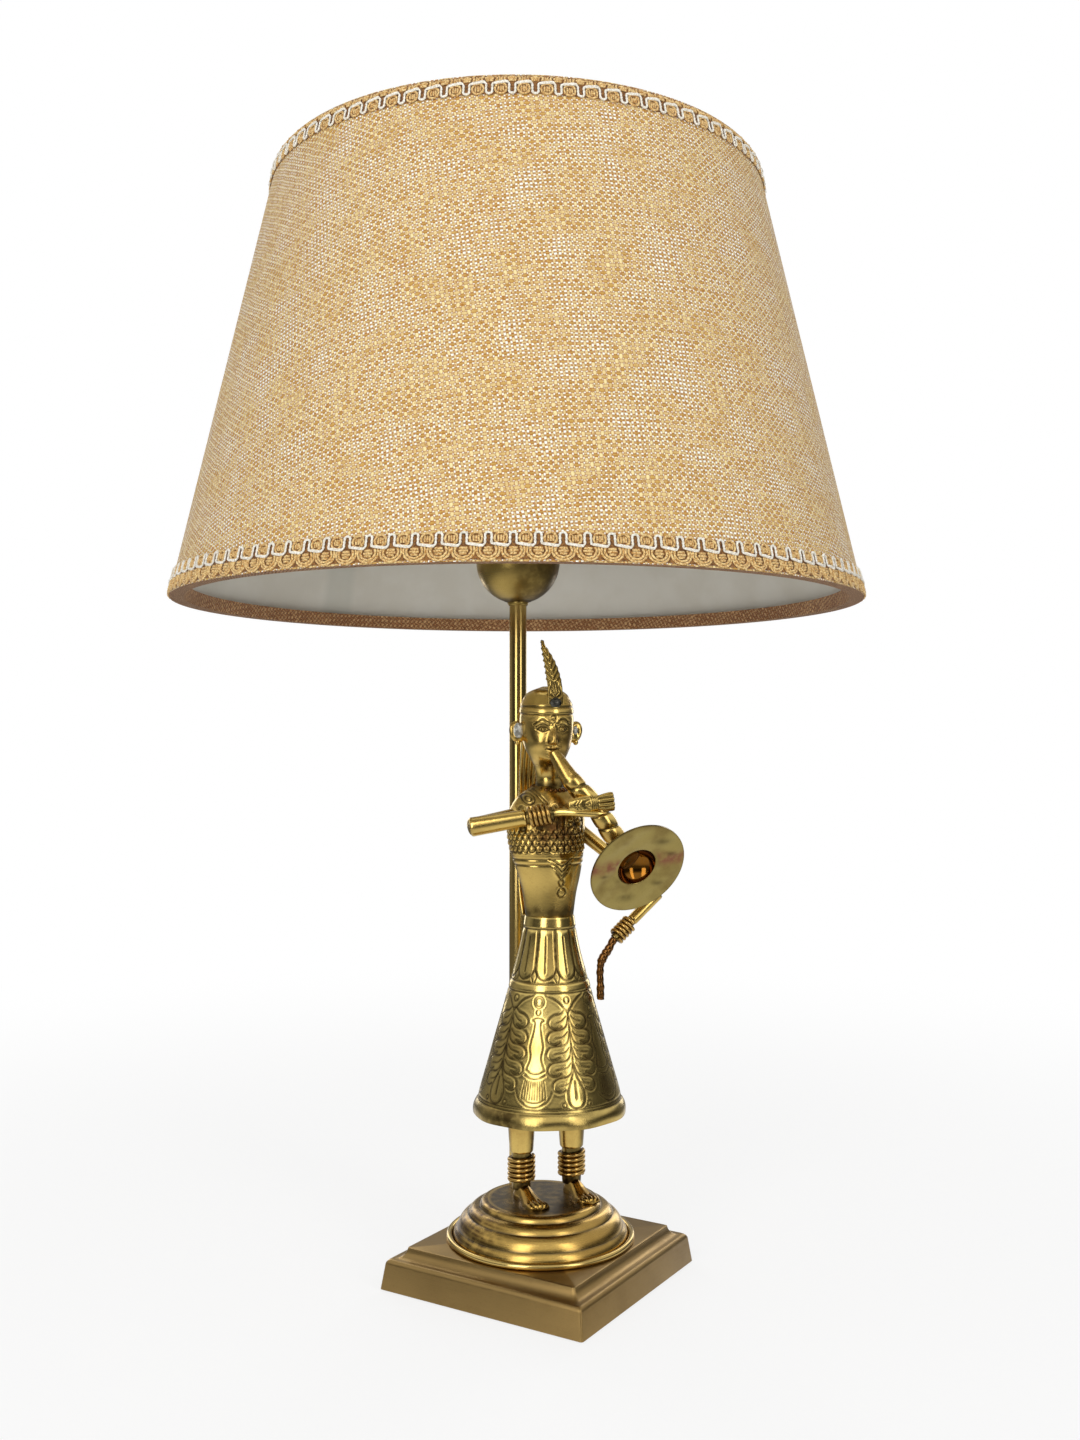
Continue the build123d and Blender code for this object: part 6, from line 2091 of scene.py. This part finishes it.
class Horn(FigurePart):
    """Horn at the mouth, with spiral bands, and the bell soldered to its end."""

    path: tuple[Point3, ...] = (
        (-2.9, -13.2, 215.0), (4.4, -18.4, 201.4), (14.9, -20.6, 189.8), (22.6, -21.4, 178.3),
        (29.8, -22.4, 166.6), (32.0, -25.6, 163.2),
    )
    radii: tuple[float, ...] = (2.9, 4.4, 4.6, 4.9, 5.1, 5.1)
    bell_centre: Point3 = (32.8, -30.2, 160.8)
    bell_way: Point3 = (0.09, -0.855, -0.51)
    bell_radius: float = 24.3
    bell_flare: float = 1.4
    bell_wall: float = 1.0
    bowl_radius: float = 9.8
    bowl_depth: float = 7.6
    smudges: tuple[Point3, ...] = (
        (9.0, 15.0, 4.0), (15.5, 8.0, 3.0), (13.0, -9.0, 3.4), (-2.0, -17.0, 4.2), (-17.0, -4.0, 2.2),
    )

    def build(self) -> None:
        """Model the tube and the bell."""
        tube, share, around = self.tube(self.path, self.radii, 220, 64, 0.3)
        phase = share * 9.0 + around / math.tau
        groove = hump(phase % 1.0, 0.5, 0.07)
        banded = smooth_step(share, 0.17, 0.2) * smooth_step(share, 0.8, 0.76)
        tube.height = 0.35 * np.sin(math.pi * ((phase - 0.5) % 1.0)) * banded - 0.45 * groove * banded
        tube.dirt_and_shade = 0.95 * groove * banded
        tube.add_dirt_and_shade(0.6 * smooth_step(share, 0.86, 0.97))
        self.brass("horn_pipe", tube, ["horn_tube"])
        self.make_bell()

    def make_bell(self) -> None:
        """Turn the bell: a thin hammered disc with a lacquered bowl in its middle."""
        ball = (self.bowl_radius**2 + self.bowl_depth**2) / (2 * self.bowl_depth)
        outline: list[Point2] = []
        for step in range(25):
            reach = self.bowl_radius * math.sin(math.pi / 2 * step / 24)
            outline.append((reach, ball - self.bowl_depth - math.sqrt(ball**2 - reach**2)))
        edge = (self.bell_radius, self.bell_flare)
        outline += bowed((self.bowl_radius + 0.4, 0.12), edge, 0.35, 34) + [edge]
        outline += bowed((edge[0], edge[1] - self.bell_wall), (11.0, -1.1), -0.35, 16)
        for step in range(13):
            reach = (self.bowl_radius + self.bell_wall) * math.cos(math.pi / 2 * step / 12)
            outer = ball + self.bell_wall
            outline.append((reach, ball - self.bowl_depth - math.sqrt(outer**2 - reach**2)))
        skin = Skin(lathe(outline, 180), "horn_bell_disc")
        x, y = skin.points[:, :2].T
        reach = skin.reach()
        disc = smooth_step(reach, self.bowl_radius + 0.6, self.bowl_radius + 2.0)
        dents = np.sin(0.55 * x + 1.1) * np.sin(0.5 * y - 0.4) + 0.7 * np.sin(0.33 * x - 0.42 * y)
        skin.height = 0.16 * dents * disc * smooth_step(reach, self.bell_radius, self.bell_radius - 2.0)
        skin.stain = hump(y - 0.12 * x, 3.0, 3.4) * disc
        for across, up, size in self.smudges:
            skin.add_dirt_and_shade(0.55 * hump(x, across, size) * hump(y, up, 0.45 * size) * disc)
        rim = smooth_step(reach, self.bell_radius - 0.7, self.bell_radius)
        skin.add_dirt_and_shade(0.45 * rim)
        mesh = skin.finish()
        way = Vector(self.bell_way).normalized()
        side = Vector((0, 0, 1)).cross(way).normalized()
        mesh.transform(Matrix.Translation(self.bell_centre) @ to_axes(side, way))
        self.add("horn_bell_disc", mesh, BELL_BRASS, "figure_brass", ["horn_bell"], 60.0)
        mesh.materials.append(AMBER_LACQUER.material())
        axis = np.array((self.place.to_3x3() @ way).normalized())
        offset = read(mesh.polygons, "center") - np.array(self.place @ Vector(self.bell_centre))
        depth = offset @ axis
        spread = np.linalg.norm(offset - depth[:, None] * axis, axis=1)
        forward = read(mesh.polygons, "normal") @ axis > 0
        bowl = (spread < self.bowl_radius * MM) & forward & (depth < 0.1 * MM)
        mesh.polygons.foreach_set("material_index", bowl.astype(np.int32))


class Legs(FigurePart):
    """Legs with their feet and wound anklets."""

    spread: float = 13.0
    setback: float = 4.0
    foot_turn: float = math.radians(6.0)
    anklet_bottom: float = 7.2
    anklet_wire: float = 2.1
    anklet_pitch: float = 2.3
    turns: int = 5
    mean: float = 5.8
    ankle: tuple[Point2, ...] = ((0.0, 4.6), (4.5, 4.6), (4.7, 7.0), (4.7, 22.0), (5.4, 22.2), (5.7, 22.8))
    calf: tuple[Point2, Point2] = ((5.75, 23.2), (6.9, 46.0))
    top: float = 69.9

    def build(self) -> None:
        """Model both legs."""
        for name, side in (("right", -1), ("left", 1)):
            base = (side * self.spread, self.setback, 0.0)
            self.make_leg(name, base)
            self.make_foot(name, base)
            shape = coil(self.mean, self.anklet_wire, self.anklet_pitch, self.turns)
            start = Vector(base) + Vector((0, 0, self.anklet_bottom + self.anklet_wire / 2))
            place = Matrix.Translation(start)
            self.winding(f"{name}_anklet_coil", f"{name}_anklet", shape, place, self.mean, 0.3)

    def make_leg(self, name: str, base: Point3) -> None:
        """Turn one leg.

        Args:
            name: Side of the leg.
            base: Where it stands.
        """
        knee = self.calf[1]
        outline = [*self.ankle, *bowed(*self.calf, -0.15, 20), knee, (knee[0], self.top), (0.0, self.top)]
        skin = Skin(lathe(outline, 48), f"{name}_leg_tube")
        z = skin.points[:, 2]
        facing = skin.facing()
        # Painted shade: the leg's sides, the ankle inside the anklet and the top up under the skirt.
        shaded = 0.75 * smooth_step(facing, 0.0, 36.0) + 0.6 * smooth_step(facing, -62.0, -90.0)
        painted_shade = 0.95 * smooth_step(z, 22.6, 21.8) + 0.35 * smooth_step(z, 39.0, 43.0)
        skin.dirt_and_shade = np.maximum(shaded, painted_shade)
        skin.points += base
        self.add(f"{name}_leg_tube", skin, FIGURE_BRASS, "figure_brass", [f"{name}_leg"])

    def make_foot(self, name: str, base: Point3) -> None:
        """Model one foot with its toes.

        Args:
            name: Side of the foot.
            base: Where the leg stands.
        """
        rows = 70
        outline = [(0.0, 0.0), (0.7, 0.0)] + [(1.0, row / rows) for row in range(1, rows)]
        outline += [(0.7, 1.0), (0.0, 1.0)]
        skin = Skin(lathe(outline, 64), f"{name}_foot_cast")
        share = skin.points[:, 2].copy()
        across, up = skin.points[:, 0].copy(), skin.points[:, 1].copy()
        wide = flow(share, ((0.0, 2.2), (0.12, 4.0), (0.4, 4.3), (0.75, 5.6), (0.93, 5.8), (1.0, 5.0)))
        heights = ((0.0, 3.0), (0.15, 7.0), (0.3, 7.4), (0.55, 5.0), (0.8, 3.4), (0.95, 3.0), (1.0, 2.2))
        tall = flow(share, heights)
        x = across * wide
        z = np.maximum(up, 0.0) * tall
        toe = np.abs(np.sin(math.pi * (x + 5.6) / 2.25))
        front = smooth_step(share, 0.74, 0.86)
        length = 25.2 - 0.055 * (x - 1.0) ** 2 + 0.6 * toe
        skin.points = np.stack([x, 4.2 - share * length, z + 0.02], axis=1)
        groove = hump(toe, 0.0, 0.34) * front * (up > 0)
        skin.points[:, 2] = np.maximum(skin.points[:, 2] - 0.9 * groove, 0.02)
        nail = hump(share, 0.95, 0.02) * (toe > 0.6) * (up > 0.2)
        skin.dirt_and_shade = np.maximum(0.95 * groove, 0.3 * nail)
        skin.move(Matrix.Translation(base) @ Matrix.Rotation(self.foot_turn, 4, "Z"))
        self.add(f"{name}_foot_cast", skin, FOOT_BRASS, "figure_brass", (), 70.0)


@dataclass
class PhotoCamera:
    """Camera at the photograph's viewing angle."""

    width: int = 1080
    height: int = 1440
    focal: float = 1372.3
    distance: float = 715.7
    level: float = 258.8
    azimuth: float = CAMERA_TURN
    pitch: float = 0.014
    side: float = 11.5
    sensor: float = 36.0

    def build(self) -> None:
        """Set the camera up."""
        data = bpy.data.cameras.new("photo_camera")
        data.sensor_width = self.sensor
        data.lens = self.focal / self.height * self.sensor
        data.clip_start = 0.01
        camera = bpy.data.objects.new("photo_camera", data)
        back = Vector((math.sin(self.azimuth), -math.cos(self.azimuth), 0))
        right = Vector((math.cos(self.azimuth), math.sin(self.azimuth), 0))
        camera.location = (back * self.distance + right * self.side + Vector((0, 0, self.level))) * MM
        camera.rotation_euler = (math.pi / 2 + self.pitch, 0, self.azimuth)
        bpy.context.scene.collection.objects.link(camera)
        bpy.context.scene.camera = camera


@dataclass(frozen=True)
class SoftBox:
    """Rectangular light on a stand.

    Attributes:
        name: Name of the light.
        turn: Angle from the camera's side, in degrees, positive to the right.
        reach: Distance from the lamp's axis.
        height: Height of its middle.
        size: Width and height.
        glow: Radiance of its face.
        mirrored: Whether gloss shows it.
    """

    name: str
    turn: float
    reach: float
    height: float
    size: Point2
    glow: float
    mirrored: bool = True

    def hang(self, azimuth: float) -> None:
        """Hang the box, aimed at the lamp.

        Args:
            azimuth: Angle of the camera's side, in radians.
        """
        data = bpy.data.lights.new(self.name, "AREA")
        data.shape = "RECTANGLE"
        data.size, data.size_y = self.size
        data.energy = math.pi * self.size[0] * self.size[1] * self.glow
        light = bpy.data.objects.new(self.name, data)
        angle = azimuth + math.radians(self.turn)
        light.location = (self.reach * math.sin(angle), -self.reach * math.cos(angle), self.height)
        aim = Vector((0, -0.03, self.height - 0.12)) - light.location
        light.rotation_euler = aim.to_track_quat("-Z", "Y").to_euler()
        light.visible_camera = False
        light.visible_glossy = self.mirrored
        bpy.context.scene.collection.objects.link(light)


@dataclass
class Studio:
    """Pale floor, white surround, strip boxes and a dark curtain that only reflections see."""

    azimuth: float = CAMERA_TURN
    floor_size: float = 12.0
    near_floor: float = 0.16
    far_floor: float = 0.9
    floor_glow: float = 0.78
    surround: float = 0.4
    curtain_reach: float = 2.4
    curtain_height: float = 3.0
    curtain_low: float = 0.06
    curtain_high: float = 0.85
    backdrop: float = 0.75
    backdrop_low: float = 0.22
    dark_floor: float = 0.16
    boxes: tuple[SoftBox, ...] = (
        SoftBox("left_strip", -25.0, 1.05, 0.66, (0.4, 1.2), 3.5),
        SoftBox("right_strip", 40.0, 1.1, 0.66, (0.3, 1.2), 3.2),
        SoftBox("far_left_panel", -98.0, 1.3, 0.6, (0.9, 1.2), 0.12),
        SoftBox("high_fill", 6.0, 1.6, 1.25, (0.7, 0.5), 2.4, False),
        SoftBox("rear_left_strip", -152.0, 1.2, 0.66, (0.3, 1.2), 2.3),
        SoftBox("rear_right_strip", 150.0, 1.2, 0.66, (0.3, 1.2), 2.3),
    )

    def build(self) -> None:
        """Set the stage and the lights."""
        bpy.context.scene.view_settings.view_transform = "Standard"
        self.make_world()
        self.make_floor()
        self.make_curtain()
        for box in self.boxes:
            box.hang(self.azimuth)

    def make_world(self) -> None:
        """Surround that shows white and lights softly."""
        world = bpy.data.worlds.new("white_surround")
        bpy.context.scene.world = world
        world.use_nodes = True
        graph = Graph(world.node_tree)
        seen = graph.in_view(graph.node("LightPath"))
        strength = graph.node("MapRange", {"Value": seen, "To Min": self.surround, "To Max": 1.0}).outputs[0]
        graph.feed(world.node_tree.nodes["Background"], {"Strength": strength, "Color": (1, 1, 1, 1)})

    def stage_mesh(self, name: str, shape: Shape, material: Material) -> Piece:
        """Put a stage object into the scene.

        Args:
            name: Name of the object.
            shape: Its shape, which is freed.
            material: Its material.

        Returns:
            The object.
        """
        mesh = bpy.data.meshes.new(name)
        shape.to_mesh(mesh)
        shape.free()
        mesh.materials.append(material)
        made = bpy.data.objects.new(name, mesh)
        bpy.context.scene.collection.objects.link(made)
        return made

    def make_floor(self) -> None:
        """Pale floor that keeps the shadow and runs out into white; in reflections it glows, bright near the
        lamp and dark further out, as a painted reflection.
        """
        material, graph, shader = start_material("pale_floor")
        graph.feed(shader, {"Base Color": (0.93, 0.93, 0.92, 1), "Roughness": 0.9})
        reach = graph.node("VectorMath", {0: graph.object_place()}, operation="LENGTH").outputs["Value"]
        away = graph.step(reach, self.near_floor, self.far_floor, self.floor_glow, 1.0)
        path = graph.node("LightPath")
        gloss = path.outputs["Is Glossy Ray"]
        # Painted reflection: in gloss the floor glows bright near the lamp and dark further out.
        mirrored = graph.step(reach, 0.25, 0.8, 0.85, self.dark_floor)
        glow = graph.node("Emission", {"Strength": graph.blend(gloss, 1.0, mirrored)})
        share = graph.math("MULTIPLY", graph.math("MAXIMUM", away, gloss), graph.in_view(path))
        mixed = graph.node("MixShader", {0: share, 1: shader.outputs[0], 2: glow.outputs[0]})
        graph.feed(material.node_tree.nodes["Material Output"], {"Surface": mixed.outputs[0]})
        shape = bmesh.new()
        bmesh.ops.create_grid(shape, x_segments=1, y_segments=1, size=self.floor_size / 2)
        self.stage_mesh("floor", shape, material)

    def make_curtain(self) -> None:
        """Curtain that glows as a painted reflection: dark and low in front, and paler above and behind."""
        material, graph, _ = start_material("studio_curtain")
        parts = graph.node("SeparateXYZ", {0: graph.object_place()})
        lift = graph.step(parts.outputs[2], 0.5, 1.3, self.curtain_low, self.curtain_high)
        rear = graph.step(parts.outputs[1], 0.3, 1.8)
        behind = graph.step(parts.outputs[2], 0.7, 1.1, self.backdrop_low, self.backdrop)
        glow = graph.node("Emission", {"Strength": graph.blend(rear, lift, behind)})
        graph.feed(material.node_tree.nodes["Material Output"], {"Surface": glow.outputs[0]})
        outline = [(self.curtain_reach, 0.02), (self.curtain_reach, 0.8 * self.curtain_height)]
        outline += [(0.7 * self.curtain_reach, self.curtain_height), (0.0, self.curtain_height)]
        shape = lathe(outline, 48)
        curtain = self.stage_mesh("curtain", shape, material)
        curtain.visible_camera = False
        curtain.visible_diffuse = False
        curtain.visible_shadow = False
        curtain.visible_transmission = False


def main() -> None:
    """Build the lamp's looks, then the studio and the camera."""
    logging.basicConfig(level=logging.INFO, format="%(name)s %(message)s")
    for part in (Plinth, Pedestal, Stand, Shade, Skirt, Torso, Head, Arms, Horn, Legs, Studio, PhotoCamera):
        part().build()


if __name__ == "__main__":
    main()
